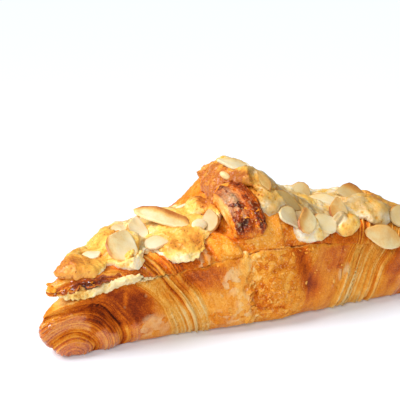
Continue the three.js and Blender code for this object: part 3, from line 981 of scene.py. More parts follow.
# %% [markdown]
# ## Upper half
# The lid joins a dome and a rolled tail of dough, so its triangles don't line up in rows. Subdividing
# them would show that. A voxel remesh gives an even skin over both instead, and a few rounds of smoothing
# take the facets out. The relief follows the same bands. In front, a pillow of dough ends in an edge
# beside the tail, and the lid's left end sags over the filling.

# %% Upper half: a fine mesh
LID_VOXEL = 0.55
SOFTEN = 0.5
LID_ROUNDS = 14

upper = copy_of_node("upper_half", "upper_crust")
remesh(upper, LID_VOXEL)
modify(upper, "SMOOTH", factor=SOFTEN, iterations=LID_ROUNDS)
print("upper half points:", len(upper.data.vertices))

# %% Upper half: relief
PILLOW_EDGE = [(-26.0, 38.6), (-22.0, 38.6), (-19.0, 37.4), (-16.5, 35.0), (-13.0, 31.5)]
PILLOW_LEFT = [(-26.5, 39.0), (-27.5, 35.0), (-25.5, 30.5)]
RIGHT_PILLOW = [(1.0, 43.5), (1.0, 39.0), (2.4, 32.0)]
DARK_ROLL = ((-64.0, -26.0, 30.0), (13.0, 9.0, 3.4), 0.5)
UNDER_TAIL = ((-10.5, -17.5, 44.0), (11.0, 14.0, 12.0), 0.5)
UNDER_TAIL_DEEP = 2.2
LID_FRONT = (2.0, 10.0)
LID_LAYERS = (34.0, 38.0)
LID_STRAND_HIGH = 1.2
LID_PLY_HIGH = 0.4
LID_STRAND_SUNK = 0.3
LID_BUMPS = [(0.25, 7.0, 3), (0.18, 1.6, 2)]
DARK_ROLL_HIGH = 0.9
PILLOW_HIGH = 1.4
PILLOW_RISE = (-0.4, 0.5)
PILLOW_FALL = 7.0
PILLOW_FOLD = (-1.3, 1.4)
PILLOW_FOLD_DEEP = 0.7
LEFT_FOLD = (0.0, 1.3)
LEFT_FOLD_DEEP = 0.9
RIGHT_PILLOW_HIGH = 1.1
RIGHT_PILLOW_RISE = (-0.3, 0.4)
RIGHT_PILLOW_FALL = 5.0
LID_UNDERSIDE = (0.6, 0.9)

points = points_of(upper)
normals = normals_of(upper)
x, y, z = points.T
bands = wraps(points)
front = ramp(-y, *LID_FRONT)
ragged = bumps(points, RAGGED)
open_layers = np.maximum(bands["layers"], 1 - ramp(bands["reach"], *LID_LAYERS))
pillow = -path_in_front(points, PILLOW_EDGE)[1]
pillow_left = path_in_front(points, PILLOW_LEFT)[1]
right_pillow = -path_in_front(points, RIGHT_PILLOW)[1]
dark_roll = patch(points, ragged, *DARK_ROLL)
strips = LID_STRAND_HIGH * bands["strands"] + LID_PLY_HIGH * terrace(bands["ply"])
swell = ramp(pillow, *PILLOW_RISE) * bell(pillow, 0, PILLOW_FALL)
lift = open_layers * (strips - LID_STRAND_SUNK)
lift += bumps(points, LID_BUMPS) + DARK_ROLL_HIGH * dark_roll
lift += front * PILLOW_HIGH * (swell - PILLOW_FOLD_DEEP * bell(pillow, *PILLOW_FOLD))
lift -= front * LEFT_FOLD_DEEP * bell(pillow_left, *LEFT_FOLD)
swell = ramp(right_pillow, *RIGHT_PILLOW_RISE) * bell(right_pillow, 0, RIGHT_PILLOW_FALL)
lift += front * RIGHT_PILLOW_HIGH * swell
lift -= UNDER_TAIL_DEEP * patch(points, 0, *UNDER_TAIL)
lift *= 1 - ramp(-normals[:, 2], *LID_UNDERSIDE)
moved = points + normals * lift[:, None]
print("upper half: relief from", round(lift.min(), 1), "to", round(lift.max(), 1), "mm")

# %% Upper half: chips and sag along the cut
CLOSED_DOWN = 1.4
CLOSED_NEAR = (1.5, 6.0)
CLOSED_FROM = (-52.0, -40.0)
GAP_HIGH = 5.0
GAP_OPENS = (42.0, 70.0)
LID_CHIPS = (-0.1, 0.6)
LID_CHIPS_NEAR = (0.5, 3.0)
LID_CHIPS_FROM = (24.0, 40.0)
FEW_CHIPS = 0.25
CHIP_UP = 1.2
CHIP_IN = 0.8
GAPE_SAG = 0.4
DROOP_SAG = 1.8
TIP_SAG = 1.8
TIP_SAGS = (74.0, 86.0)
SAG_NEAR = (0.5, 6.0)

above_cut = z - knife(x)
above_gap = above_cut - GAP_HIGH * ramp(-x, *GAP_OPENS)
moved[:, 2] -= CLOSED_DOWN * (1 - ramp(above_cut, *CLOSED_NEAR)) * ramp(x, *CLOSED_FROM)
chipped = ramp(uneven(points, *RIM_CHIPS), *LID_CHIPS) * (1 - ramp(above_gap, *LID_CHIPS_NEAR))
chipped *= FEW_CHIPS + (1 - FEW_CHIPS) * ramp(-x, *LID_CHIPS_FROM)
moved[:, 2] += CHIP_UP * chipped
moved[:, 1] += CHIP_IN * chipped * front
sag = GAPE_SAG * gaping(x) + DROOP_SAG * drooping(x) + TIP_SAG * ramp(-x, *TIP_SAGS)
moved[:, 2] -= sag * (1 - ramp(above_gap, *SAG_NEAR))
move_points(upper, moved)
print("the lid's left end sags by", round(sag.max(), 1), "mm")

# %% Upper half: browning and painted shade
UPPER_PATCHES = [
    ((-78.0, -23.0, 28.0), (10.0, 14.0, 4.0), 0.5, 0.22),
    ((-64.0, -26.0, 30.0), (13.0, 10.0, 4.0), 0.4, 0.17),
    ((-38.0, -25.0, 32.0), (9.0, 10.0, 6.0), 0.4, 0.2),
    ((-21.0, -27.0, 34.0), (6.0, 10.0, 5.0), 0.6, -0.06),
    ((-4.0, -28.0, 38.0), (7.0, 10.0, 6.0), 0.6, -0.12),
    ((22.0, -28.0, 32.5), (15.0, 8.0, 5.0), 0.5, 0.2),
]
CRUMBLY = [
    ((-20.0, -25.0, 35.0), (8.0, 12.0, 6.0), 0.5, 0.6),
    ((-2.0, -28.0, 37.0), (9.0, 12.0, 6.0), 0.5, 0.5),
]
UPPER_CRISP = [
    ((-28.0, -22.0, 34.0), (1.4, 12.0, 5.0), 0.4, 0.8),
    ((-31.5, -27.0, 31.0), (1.2, 12.0, 2.5), 0.4, 0.7),
    ((-27.0, 1.0, 41.5), (4.0, 6.0, 3.0), 0.4, 0.8),
]
LID_TONE = 0.41
LID_LAYER_TONE = 0.08
LID_STRAND_TONE = 0.22
LID_PLY_TONE = 0.14
PILLOW_SHADE = (-1.2, 1.2)
PILLOW_TONE = 0.2
RIGHT_SHADE = (-2.0, 2.0)
RIGHT_TONE = 0.18
LEFT_FOLD_TONE = 0.12
LID_DUST = 0.4
LID_GLOSS = 0.35
HORN_GLOSS = 0.25
HORN_GLOSS_END = (30.0, 50.0)
DARK_ROLL_GLOSS = 0.15

cut_face = ramp(-normals[:, 2], *CUT_FACING)
# Darker along the pillow's edge, beside the right pillow and in the left fold: painted shade.
folds = PILLOW_TONE * bell(pillow, *PILLOW_SHADE) + RIGHT_TONE * bell(right_pillow, *RIGHT_SHADE)
folds += LEFT_FOLD_TONE * bell(pillow_left, *LEFT_FOLD)
# Darker under each ply step of the open layers: painted shade.
strips = LID_LAYER_TONE - LID_STRAND_TONE * bands["strands"] - LID_PLY_TONE * terrace(bands["ply"])
browning = LID_TONE + bumps(points, CLOUDS) + open_layers * strips + front * folds
browning += patches(points, ragged, UPPER_PATCHES)
browning = browning * (1 - cut_face) + CUT_TONE * cut_face
shine = LID_GLOSS + HORN_GLOSS * (1 - ramp(bands["reach"], *HORN_GLOSS_END)) + DARK_ROLL_GLOSS * dark_roll
store(
    upper,
    brown=browning,
    layers=open_layers * bands["open"] * (1 - cut_face),
    reach=bands["reach"],
    turn=bands["turn"],
    crisp=np.clip(patches(points, ragged, UPPER_CRISP), 0, 1),
    dust=np.clip(LID_DUST * bands["middle"] + DUST + patches(points, ragged, CRUMBLY), 0, 1),
    gloss=np.clip(shine, 0, 1) * (1 - cut_face),
)
finish_piece(upper, crust, "crust", "upper_half")

# %% [markdown]
# ## The dough's tail
# The tip of the dough triangle ends as a short roll on the front of the tall wrap. It stands proudest, so
# it baked darkest. A curve with a bevel would be too even. Here a subdivided cube becomes the roll: its
# corners are rounded, and it is bent along a curve that runs down the lid's front. Creases run along it,
# a burnt spot sits near its end, a patch on its upper left is paler, and its left flank stayed golden.

# %% The dough's tail
CUBE_SIDE = 2.0
TAIL_CUTS = 44
TAIL_CORNER = 0.62
TAIL_PATH = np.array([[-12.8, -7.0, 48.5], [-11.8, -20.5, 50.5], [-10.8, -28.6, 36.6]])
TAIL_WIDE = (7.2, 7.8)
TAIL_WIDENS = (0.5, 1.0)
TAIL_THICK = 4.8
TAIL_TURN = np.radians(20)
TO_RIGHT = np.array([1.0, 0.0, 0.0])


def unit(vectors):
    return vectors / np.linalg.norm(vectors, axis=1)[:, None]


bpy.ops.object.select_all(action="DESELECT")
bpy.ops.mesh.primitive_cube_add(size=CUBE_SIDE)
tail = bpy.context.object
tail.name = "rolled_tail"
in_edit_mode(tail, (bpy.ops.mesh.subdivide, {"number_cuts": TAIL_CUTS}))
cube = points_of(tail) * MM
form = cube * (1 - TAIL_CORNER) + unit(cube) * TAIL_CORNER
share = (form[:, 1:2] + 1) / 2
start, bend, end = TAIL_PATH
centre = (1 - share) ** 2 * start + 2 * share * (1 - share) * bend + share**2 * end
ahead = unit((1 - share) * (bend - start) + share * (end - bend))
across = unit(TO_RIGHT - ahead * ahead[:, :1])
turned = np.cos(TAIL_TURN) * across + np.sin(TAIL_TURN) * np.cross(ahead, across)
outward = np.cross(ahead, turned)
wide = TAIL_WIDE[0] + (TAIL_WIDE[1] - TAIL_WIDE[0]) * ramp(share, *TAIL_WIDENS)
move_points(tail, centre + turned * wide * form[:, :1] + outward * TAIL_THICK * form[:, 2:])
print("top of the tail in mm:", round(points_of(tail)[:, 2].max(), 1))

# %% The dough's tail: creases and browning
CREASES = (2.6, 1.2)
CREASE_HIGH = 0.4
TAIL_BUMPS = [(0.4, 3.0, 3), (0.2, 1.2, 2)]
TAIL_RAGGED = [(0.25, 3.0, 3, 8.0)]
TAIL_CLOUDS = [(0.2, 4.0, 2, 3.0)]
BURNT = ((-13.6, -28.3, 42.0), (2.8, 4.0, 3.6), 0.5)
DUSTED = ((-16.0, -20.0, 49.0), (4.0, 9.0, 6.0), 0.5)
GOLDEN_FLANK = (0.64, 0.76)
TAIL_END = (0.86, 1.0)
TAIL_TONE = 0.77
CREASE_TONE = 0.14
BURNT_TONE = 0.1
FLANK_TONE = 0.4
END_TONE = 0.12
TAIL_LAYERS = 0.3
TAIL_RUN = 25.0
TAIL_CRISP = 0.5
TAIL_DUST = 0.7
TAIL_GLOSS = 0.56

points = points_of(tail)
share = share[:, 0]
flat = np.zeros(len(points))
crease = uneven(np.c_[form[:, 0] * CREASES[0], share * CREASES[1], flat], 1.0)
lift = CREASE_HIGH * crease + bumps(points, TAIL_BUMPS)
move_points(tail, points + normals_of(tail) * lift[:, None])
ragged = bumps(points, TAIL_RAGGED)
browning = TAIL_TONE - CREASE_TONE * crease + bumps(points, TAIL_CLOUDS)
browning += BURNT_TONE * patch(points, ragged, *BURNT)
browning -= FLANK_TONE * ramp(-form[:, 0], *GOLDEN_FLANK) + END_TONE * ramp(share, *TAIL_END)
store(
    tail,
    brown=browning,
    layers=flat + TAIL_LAYERS,
    reach=form[:, 0] * TAIL_WIDE[0],
    turn=share * TAIL_RUN,
    crisp=TAIL_CRISP * patch(points, ragged, *DUSTED),
    dust=flat + TAIL_DUST,
    gloss=flat + TAIL_GLOSS,
)
finish_piece(tail, crust, "crust", "upper_half")

# %% [markdown]
# ## Filling
# The layer in the slit is remeshed finely and roughened with noise, so that its edge breaks up into
# crumbs. A bump in the material would leave that edge straight. Two balls joined to it are torn lumps
# that hang on to the lid's rim. At the left it droops with the lid and is golden. Further right it lies
# deeper and is darkened as painted shade, so that the slit is a dark line.

# %% Filling: a fine mesh
FILLING_VOXEL = 0.55
TORN_LUMPS = [
    ((-64.5, -27.0, 27.2), (4.0, 2.0, 1.7)),
    ((-59.0, -27.4, 28.4), (4.5, 2.0, 1.7)),
]


def join_ball(piece, place, radii):
    bpy.ops.object.select_all(action="DESELECT")
    bpy.ops.mesh.primitive_uv_sphere_add(radius=MM, location=np.array(place) * MM, scale=radii)
    bpy.ops.object.transform_apply()
    piece.select_set(True)
    bpy.context.view_layer.objects.active = piece
    bpy.ops.object.join()


filling = copy_of_node("filling", "filling_crumb")
for place, radii in TORN_LUMPS:
    join_ball(filling, place, radii)
remesh(filling, FILLING_VOXEL)
print("filling points:", len(filling.data.vertices))

# %% Filling: crumbs, browning and painted shade
FILLING_BUMPS = [(0.7, 2.6, 3), (0.8, 1.2, 2, 6.0)]
FILLING_RAGGED = [(0.3, 3.0, 3, 8.0)]
HANGING = ((-57.5, -26.0, 29.0), (7.0, 9.0, 5.0), 0.4)
HANG_OUT = 1.6
HANG_UP = 0.9
FACING = (0.0, 0.5)
FACING_UP = (0.0, 0.6)
GAP_END = (-66.0, -62.0)
GAP_FILL = 0.5
FILLING_RISE = 2.6
SQUEEZE = 0.1
DROOP_LOW = 1.6
DROOP_OUT = 1.2
PULL_FROM = -64.0
PULL_IN = 0.14
PUSH_FROM = (-54.0, -46.0)
PUSH_IN = 2.6
FILLING_TOAST = 0.12
GOLDEN_END = (-80.0, 5.0)
GOLDEN_TOAST = 0.55
DEEP_FROM = (-52.0, -44.0)
DEEP_TOAST = 0.75
PIT_TOAST = 0.35

points = points_of(filling)
normals = normals_of(filling)
x, _, z = points.T
ragged = bumps(points, FILLING_RAGGED)
facing = ramp(-normals[:, 1], *FACING)
hanging = patch(points, ragged, *HANGING) * facing
sunk = (1 - ramp(x, *GAP_END)) * ramp(normals[:, 2], *FACING_UP)
lift = bumps(points, FILLING_BUMPS)
moved = points + normals * lift[:, None]
middle_high = knife(x) + FILLING_RISE * ramp(-x, *GAP_OPENS)
moved[:, 0] += PULL_IN * np.maximum(PULL_FROM - x, 0)
moved[:, 1] += PUSH_IN * ramp(x, *PUSH_FROM) * facing - HANG_OUT * hanging - DROOP_OUT * drooping(x) * facing
moved[:, 2] += SQUEEZE * gaping(x) * (middle_high - z) + HANG_UP * hanging + GAP_FILL * sunk
moved[:, 2] -= DROOP_LOW * drooping(x)
move_points(filling, moved)
# Darker where the filling lies deep in the slit: painted shade.
toasting = FILLING_TOAST + GOLDEN_TOAST * bell(x, *GOLDEN_END) + DEEP_TOAST * ramp(x, *DEEP_FROM)
store(filling, toast=np.clip(toasting - PIT_TOAST * lift, 0, 1))
finish_piece(filling, crumb, "filling", "filling")

# %% [markdown]
# ## Cream
# The imported cream has a hollow for every slice. Balls joined to it make its drips and the lumps on the
# ridge. Pushed out a little and remeshed, it closes round all of them as real cream does, which a boolean
# would leave with sharp seams. Two sizes of noise make it lumpy and coarse. It toasted where the heat
# reached first: the left end, the top of each lump and the left side of the peak, and two darker spots
# right of the peak are painted shade. Where it is thin, at its lower lips, it stayed white, so its depth
# over the lid is measured with a search tree of the lid's points. On the dome and to its right it stayed
# moist, and the beige tint there also paints the shade on that side, apart from a few dry, unshaded spots.

# %% Cream: a fine mesh
CREAM_VOXEL = 0.5
CREAM_SWELL = 0.9
CREAM_ROUNDS = (9, 6)
DRIPS = [
    ((13.4, -28.0, 36.4), (6.2, 1.7, 4.4)),
    ((31.0, -26.4, 36.0), (4.6, 1.7, 3.4)),
    ((25.5, -26.2, 38.6), (4.5, 1.7, 2.8)),
    ((-24.0, 4.0, 38.6), (8.0, 7.0, 2.4)),
    ((-18.5, 1.5, 42.0), (5.0, 6.0, 2.6)),
    ((0.5, -20.5, 46.2), (7.6, 4.6, 5.2)),
    ((-31.0, 6.0, 38.4), (6.0, 6.0, 2.4)),
]

topping = copy_of_node("cream_topping", "baked_cream")
for place, radii in DRIPS:
    join_ball(topping, place, radii)
remesh(topping, CREAM_VOXEL)
modify(topping, "SMOOTH", factor=SOFTEN, iterations=CREAM_ROUNDS[0])
move_points(topping, points_of(topping) + CREAM_SWELL * normals_of(topping))
remesh(topping, CREAM_VOXEL)
modify(topping, "SMOOTH", factor=SOFTEN, iterations=CREAM_ROUNDS[1])
print("cream points:", len(topping.data.vertices))

# %% Cream: toasting, painted shade and pores
# Toasted spots; the one right of the peak at (-8, -14, 54) is partly painted shade, and the one right of the
# tail at (-1, -20, 48) is painted shade.
TOASTED = [
    ((-81.0, -22.0, 32.0), (12.0, 14.0, 8.0), 0.6, 0.55),
    ((-61.0, -13.0, 39.0), (9.0, 14.0, 8.0), 0.5, 0.36),
    ((-35.5, -20.0, 38.0), (9.0, 10.0, 6.0), 0.5, 0.4),
    ((-26.0, -4.0, 42.0), (9.0, 9.0, 6.0), 0.5, 0.12),
    ((-13.5, 2.0, 51.0), (10.0, 32.0, 10.0), 0.35, 0.68),
    ((-8.0, -14.0, 54.0), (6.0, 7.0, 5.0), 0.5, 0.3),
    ((21.0, -10.0, 42.5), (4.0, 4.0, 3.0), 0.5, 0.3),
    ((-1.0, -20.0, 48.0), (6.0, 6.0, 6.0), 0.5, 0.2),
    ((17.0, -28.0, 37.0), (4.5, 5.0, 4.5), 0.5, 0.24),
    ((31.0, -24.5, 36.0), (6.0, 7.0, 4.0), 0.5, 0.5),
    ((54.0, -11.0, 39.5), (7.0, 9.0, 5.0), 0.5, 0.4),
]
DOME = ((-9.0, 2.0, 51.5), (13.0, 34.0, 9.0), 0.4)
CREAM_RAGGED = [(0.2, 5.0, 3, 8.0)]
RIGHT_OF_PEAK = (-12.0, -1.0)
LEFT_END = (64.0, 72.0)
CREAM_TOAST = 0.26
RIGHT_PALER = 0.12
TOAST_NOISE = (5.0, 3)
TOAST_SPREAD = 0.2
RIGHT_SPREAD = 0.15
TOP_FACING = (0.3, 1.0)
TOP_TOAST = 0.08
LIP_THIN = (0.3, 1.5)
LIP_PALER = 0.7
PIT_SIZE = 1.8
PIT_EDGE = (0.12, 0.4)
PIT_NOISE = (7.0, 2, 3.0)
PIT_SHARE = (0.2, 0.6)
PIT_RIGHT = 0.4
PIT_MOST = 0.8


def depth_over(points, base):
    tree = KDTree(len(base))
    for i, p in enumerate(base):
        tree.insert(p, i)
    tree.balance()
    return np.array([tree.find(p)[2] for p in points])


def pits_of(points, size):
    return np.array([noise.voronoi(p)[0][0] for p in points / size])


points = points_of(topping)
normals = normals_of(topping)
depth = depth_over(points, points_of(upper))
ragged = bumps(points, CREAM_RAGGED)
at_right = ramp(points[:, 0], *RIGHT_OF_PEAK)
at_left = ramp(-points[:, 0], *LEFT_END)
dome = patch(points, ragged, *DOME)
toasting = CREAM_TOAST - RIGHT_PALER * at_right
toasting += (TOAST_SPREAD + RIGHT_SPREAD * at_right) * uneven(points, *TOAST_NOISE)
toasting += TOP_TOAST * ramp(normals[:, 2], *TOP_FACING)
toasting += patches(points, ragged, TOASTED)
toasting *= 1 - LIP_PALER * (1 - ramp(depth, *LIP_THIN)) * (1 - dome)
pore = 1 - ramp(pits_of(points, PIT_SIZE), *PIT_EDGE)
pore *= np.maximum(dome, PIT_MOST * ramp(uneven(points, *PIT_NOISE) + PIT_RIGHT * at_right, *PIT_SHARE))
print("cream: toasting is", round(toasting.mean(), 2), "and its depth", round(depth.max(), 1), "mm at most")

# %% Cream: lumps
CREAM_BUMPS = [(1.1, 9.0, 2), (0.4, 3.0, 3)]
CREAM_COARSE = (1.3, 2)
COARSE_HIGH = 0.4
LIP_COARSE = 0.5
LIP_COARSE_BAND = (1.0, 1.2)
RIGHT_SMOOTHER = 0.6
LEFT_SMOOTHER = 0.5
CREAM_PLUMP = 0.2
LIP_HIGH = 0.6
LIP_BAND = (1.2, 1.0)
LIP_FACING = (0.2, 0.8)
PORE_DEEP = 0.7
NOTCH = ((-48.2, -20.5, 34.5), (3.6, 8.0, 6.0), 0.4, 3.4)
THINNER = [
    ((-30.0, -25.0, 34.0), (8.0, 8.0, 5.0), 0.5, 1.8),
    ((-9.0, 24.0, 50.0), (9.0, 13.0, 9.0), 0.5, 2.6),
    ((-69.4, -16.0, 36.5), (7.0, 6.0, 4.0), 0.5, 1.0),
    NOTCH,
]

smoother = 1 - RIGHT_SMOOTHER * np.maximum(at_right, LEFT_SMOOTHER * at_left)
coarse_high = smoother * (COARSE_HIGH + LIP_COARSE * bell(depth, *LIP_COARSE_BAND))
lift = bumps(points, CREAM_BUMPS) + coarse_high * uneven(points, *CREAM_COARSE) + CREAM_PLUMP
lift -= patches(points, ragged, THINNER)
lift += LIP_HIGH * bell(depth, *LIP_BAND) * ramp(-normals[:, 1], *LIP_FACING) - PORE_DEEP * pore
moved = points + normals * lift[:, None]
print("cream: relief from", round(lift.min(), 1), "to", round(lift.max(), 1), "mm")

# %% Cream: room for the slices, and moisture with painted shade
LID_AXIS_HIGH = 15.0
SLICE_REACH = 1.05
SLICE_NEAR = 4.0
SLICE_CLEAR = 1.3
LAST_SOFTEN = 0.4
LAST_ROUNDS = 2
DOME_FRONT = ((-9.0, -14.0, 53.0), (8.0, 7.0, 6.0), 0.5)
DOME_MOIST = 0.65
DOME_FRONT_MOIST = 0.3
RIGHT_MOIST = 0.85
MOIST_SPREAD = [(0.5, 6.0, 2, 9.0)]
DRY_BACK = 0.75
BACK = (-8.0, 4.0)
DRY_TOASTED = 0.4
TOASTED_DRY = (0.35, 0.6)
PORE_DARK = 0.45
DRY = [
    ((27.0, -9.0, 40.5), (6.0, 6.0, 4.0), 0.5, 0.6),
    ((21.0, -10.0, 42.5), (5.0, 5.0, 4.0), 0.5, 0.8),
    ((13.4, -28.0, 36.5), (8.0, 6.0, 5.0), 0.4, 0.9),
    ((31.0, -26.4, 36.0), (6.0, 5.0, 4.0), 0.4, 0.9),
]
SLICES = sorted(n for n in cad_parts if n.startswith("almond_"))


def frame_of_slice(node):
    corners = points_of(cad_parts[node])
    middle = corners.mean(0)
    axes = np.linalg.svd(corners - middle, full_matrices=False)[2]
    from_axis = middle * [0, 1, 1] - [0, 0, LID_AXIS_HIGH]
    axes[2] *= np.sign(axes[2] @ from_axis)
    half = np.abs((corners - middle) @ axes.T).max(0)
    return middle, axes, half


for node in SLICES:
    middle, axes, half = frame_of_slice(node)
    local = (moved - middle) @ axes.T
    inside = np.hypot(local[:, 0] / half[0], local[:, 1] / half[1]) < SLICE_REACH
    over = inside & (np.abs(local[:, 2]) < SLICE_NEAR)
    extra = np.where(over, np.maximum(local[:, 2] - half[2] + SLICE_CLEAR, 0), 0)
    moved -= extra[:, None] * axes[2]
move_points(topping, moved)
modify(topping, "SMOOTH", factor=LAST_SOFTEN, iterations=LAST_ROUNDS)
# Moisture and painted shade: the beige tint on the dome and to its right stands for both; the dry spots and
# the back keep the plain colour.
on_dome = DOME_MOIST * dome + DOME_FRONT_MOIST * patch(points, ragged, *DOME_FRONT)
moisture = np.maximum(on_dome, at_right * (RIGHT_MOIST + bumps(points, MOIST_SPREAD)))
moisture *= 1 - DRY_BACK * ramp(points[:, 1], *BACK)
moisture *= 1 - DRY_TOASTED * ramp(toasting, *TOASTED_DRY)
moisture *= np.clip(1 - patches(points, ragged, DRY), 0, 1)
store(topping, toast=np.clip(toasting + PORE_DARK * pore, 0, 1), moist=np.clip(moisture, 0, 1))
finish_piece(topping, cream, "cream", "cream_topping")

# %% [markdown]
# ## Sliced almonds
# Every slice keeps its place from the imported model. Its rim is creased, so that Subdivision rounds the
# outline and leaves the cut faces flat, and a slow wave bends it. A bevel would round it too, but with
# the same edge all round. Its own three directions come from its points: the longest spread is its
# length, the smallest its thickness. Along them it is pinched to a point, one slice is longer and blunt,
# and a few are turned or tilted in place. The rim's toasting follows from them too, stronger on one side,
# and some slices lay nearer the heat.

# %% Sliced almonds: how they differ
SLICE_POINT = 0.35
PINCH_START = 0.2
POINTED = {
    5: ((1.0, 0.0, 0.0), -0.6, 0.75),
    9: ((-0.86, 0.43, 0.28), 0.75, 1.0),
    10: ((0.06, 0.95, 0.32), 0.92, 0.6),
    12: ((0.4, 0.0, -1.0), 0.7, 1.0),
    15: ((0.1, 0.0, 1.0), 0.4, 1.0),
    18: ((-1.0, 0.0, 0.4), 0.5, 1.0),
    19: ((-1.0, 0.0, 0.4), 0.4, 1.0),
}
LONGER = {5: 1.2}
BLUNT = {5: 0.3}
BLUNT_START = (0.4, 1.0)
TURNED = {11: 35, 13: 25}
TILTED = {5: 36}
TOWARDS = np.array([-0.4, -0.87, 0.28])


def pinched(seed, local, axes):
    low_wide = np.abs(local[local[:, 0] < 0, 1]).mean()
    high_wide = np.abs(local[local[:, 0] > 0, 1]).mean()
    narrow = np.sign(low_wide - high_wide) * axes[0]
    tip, point, slim = POINTED.get(seed, (narrow, SLICE_POINT, 1.0))
    along = axes[:2] @ np.array(tip)
    along /= np.linalg.norm(along)
    aside = np.array([-along[1], along[0]])
    to_tip = local[:, :2] @ along * LONGER.get(seed, 1.0)
    share = to_tip / to_tip.max()
    away = slim * (local[:, :2] @ aside) * (1 - point * ramp(share, PINCH_START - max(point, 0), 1.0))
    to_tip -= BLUNT.get(seed, 0.0) * to_tip.max() * ramp(share, *BLUNT_START)
    return np.c_[np.outer(to_tip, along) + np.outer(away, aside), local[:, 2]]


def set_down(seed, local, axes):
    turn = np.radians(TURNED.get(seed, 0)) * np.sign(axes[1] @ TOWARDS)
    tilt = np.radians(TILTED.get(seed, 0)) * np.sign(axes[0][0] * axes[1][2])
    along, aside, up = local.T
    raised = np.c_[along, aside * np.cos(turn) + up * np.sin(turn), up * np.cos(turn) - aside * np.sin(turn)]
    spin = np.array([[np.cos(tilt), -np.sin(tilt)], [np.sin(tilt), np.cos(tilt)]])
    return np.c_[raised[:, :2] @ spin, raised[:, 2]]


print("slices:", len(SLICES), "of which pinched by hand:", len(POINTED))

# %% Sliced almonds
RIM_CREASE = 0.55
SLICE_SHARP = np.radians(25)
SLICE_WAVE = 0.3
WAVE_SIZE = 6.0
SLICE_TOAST = 0.14
RIM = (0.86, 1.0)
RIM_TOAST = 0.6
RIM_EVEN = 0.6
RIM_SIDE = 0.4
SIDE_TOAST = 0.16
EDGE_TOAST = {5: 0.6, 9: 0.3, 15: 0.25, 18: 0.4}
EDGE_SIDE = (-0.1, 0.6)
EDGE_MEAN = 0.4
MORE_TOASTED = {
    2: 0.16, 5: 0.42, 9: 0.06, 10: 0.3, 13: 0.14, 15: 0.36, 16: 0.06, 17: 0.36, 18: 0.25, 19: 0.34,
}
# How much of the beige tint each slice takes: partly moisture from the cream, partly painted shade.
MOIST = {
    6: 0.4, 7: 0.9, 9: 0.3, 10: 1.0, 11: 1.0, 12: 0.6, 13: 0.6, 14: 0.4, 15: 0.25, 16: 0.3, 17: 0.4,
    18: 0.8, 19: 0.1, 20: 0.8,
}

for node in SLICES:
    slice_piece = copy_of_node(node, "sliced_" + node)
    in_edit_mode(
        slice_piece,
        (bpy.ops.mesh.select_all, {"action": "DESELECT"}),
        (bpy.ops.mesh.edges_select_sharp, {"sharpness": SLICE_SHARP}),
        (bpy.ops.transform.edge_crease, {"value": RIM_CREASE}),
    )
    modify(slice_piece, "SUBSURF", levels=FINE_LEVELS, render_levels=FINE_LEVELS)
    seed = int(node.split("_")[1])
    middle, axes, half = frame_of_slice(node)
    local = pinched(seed, (points_of(slice_piece) - middle) @ axes.T, axes)
    points = middle + set_down(seed, local, axes) @ axes
    wave = SLICE_WAVE * uneven(points, WAVE_SIZE, seed=seed)
    move_points(slice_piece, points + wave[:, None] * axes[2])
    from_middle = np.hypot(local[:, 0] / half[0], local[:, 1] / half[1])
    side = local[:, 1] / half[1] * np.sign(axes[1][2])
    toasted = SLICE_TOAST + MORE_TOASTED.get(seed, 0.0) + SIDE_TOAST * side
    toasted += RIM_TOAST * ramp(from_middle, *RIM) * (RIM_EVEN + RIM_SIDE * side)
    toasted += EDGE_TOAST.get(seed, 0.0) * (ramp(side, *EDGE_SIDE) - EDGE_MEAN)
    store(slice_piece, toast=np.clip(toasted, 0, 1), moist=np.full(len(points), MOIST.get(seed, 0.0)))
    finish_piece(slice_piece, almond, "almond", node)

# %% [markdown]
# ## Almond splinters
# Slicing almonds leaves a few splinters. Two of them stuck to the cream: a golden one on the dome and a
# pale one under the slice beside the tail. A cut slice would do, but at this size a squeezed ball looks
# the same. Each is set on the nearest point of the cream and leans towards the front.

# %% Almond splinters
SPLINTERS = [
    ((-10.3, -4.0, 54.0), (2.4, 1.3, 1.0), (0.5, -0.8, -0.4), 0.36),
    ((-26.7, -15.7, 39.6), (3.4, 2.3, 0.9), (1.0, 0.0, 0.3), 0.12),
]
SPLINTER_UP = 0.6
SPLINTER_MOIST = 0.1
SPLINTER_SEGMENTS = 24
SPLINTER_RINGS = 12

points = points_of(topping)
normals = normals_of(topping)
for count, (place, radii, along, toasted) in enumerate(SPLINTERS, 1):
    bpy.ops.object.select_all(action="DESELECT")
    bpy.ops.mesh.primitive_uv_sphere_add(segments=SPLINTER_SEGMENTS, ring_count=SPLINTER_RINGS, radius=MM)
    splinter = bpy.context.object
    splinter.name = "almond_splinter_%d" % count
    nearest = np.linalg.norm(points - place, axis=1).argmin()
    up = normals[nearest] + TOWARDS
    up /= np.linalg.norm(up)
    aside = np.cross(up, along)
    aside /= np.linalg.norm(aside)
    axes = np.array([np.cross(aside, up), aside, up])
    form = points_of(splinter) * radii
    move_points(splinter, points[nearest] + SPLINTER_UP * up + form @ axes)
    flat = np.zeros(len(form))
    store(splinter, toast=flat + toasted, moist=flat + SPLINTER_MOIST)
    finish_piece(splinter, almond, "almond")

# %% [markdown]
# ## Flakes
# A croissant sheds its skin: small curled flakes stick to the torn edge, the rough middle turn and the
# knife's rim, and longer shards stand out at the lid's left tip. A particle system could scatter them,
# but not in chosen places. One small curled flake is modelled from a grid. Copies of it, each of its own
# size and turn, are set on the crust's points and joined to one mesh.

# %% Flakes: one curled flake
FLAKE_THICK = 0.2
FLAKE_TAPER = 0.45
FLAKE_ROUND = 1.5
FLAKE_CURL = 0.3

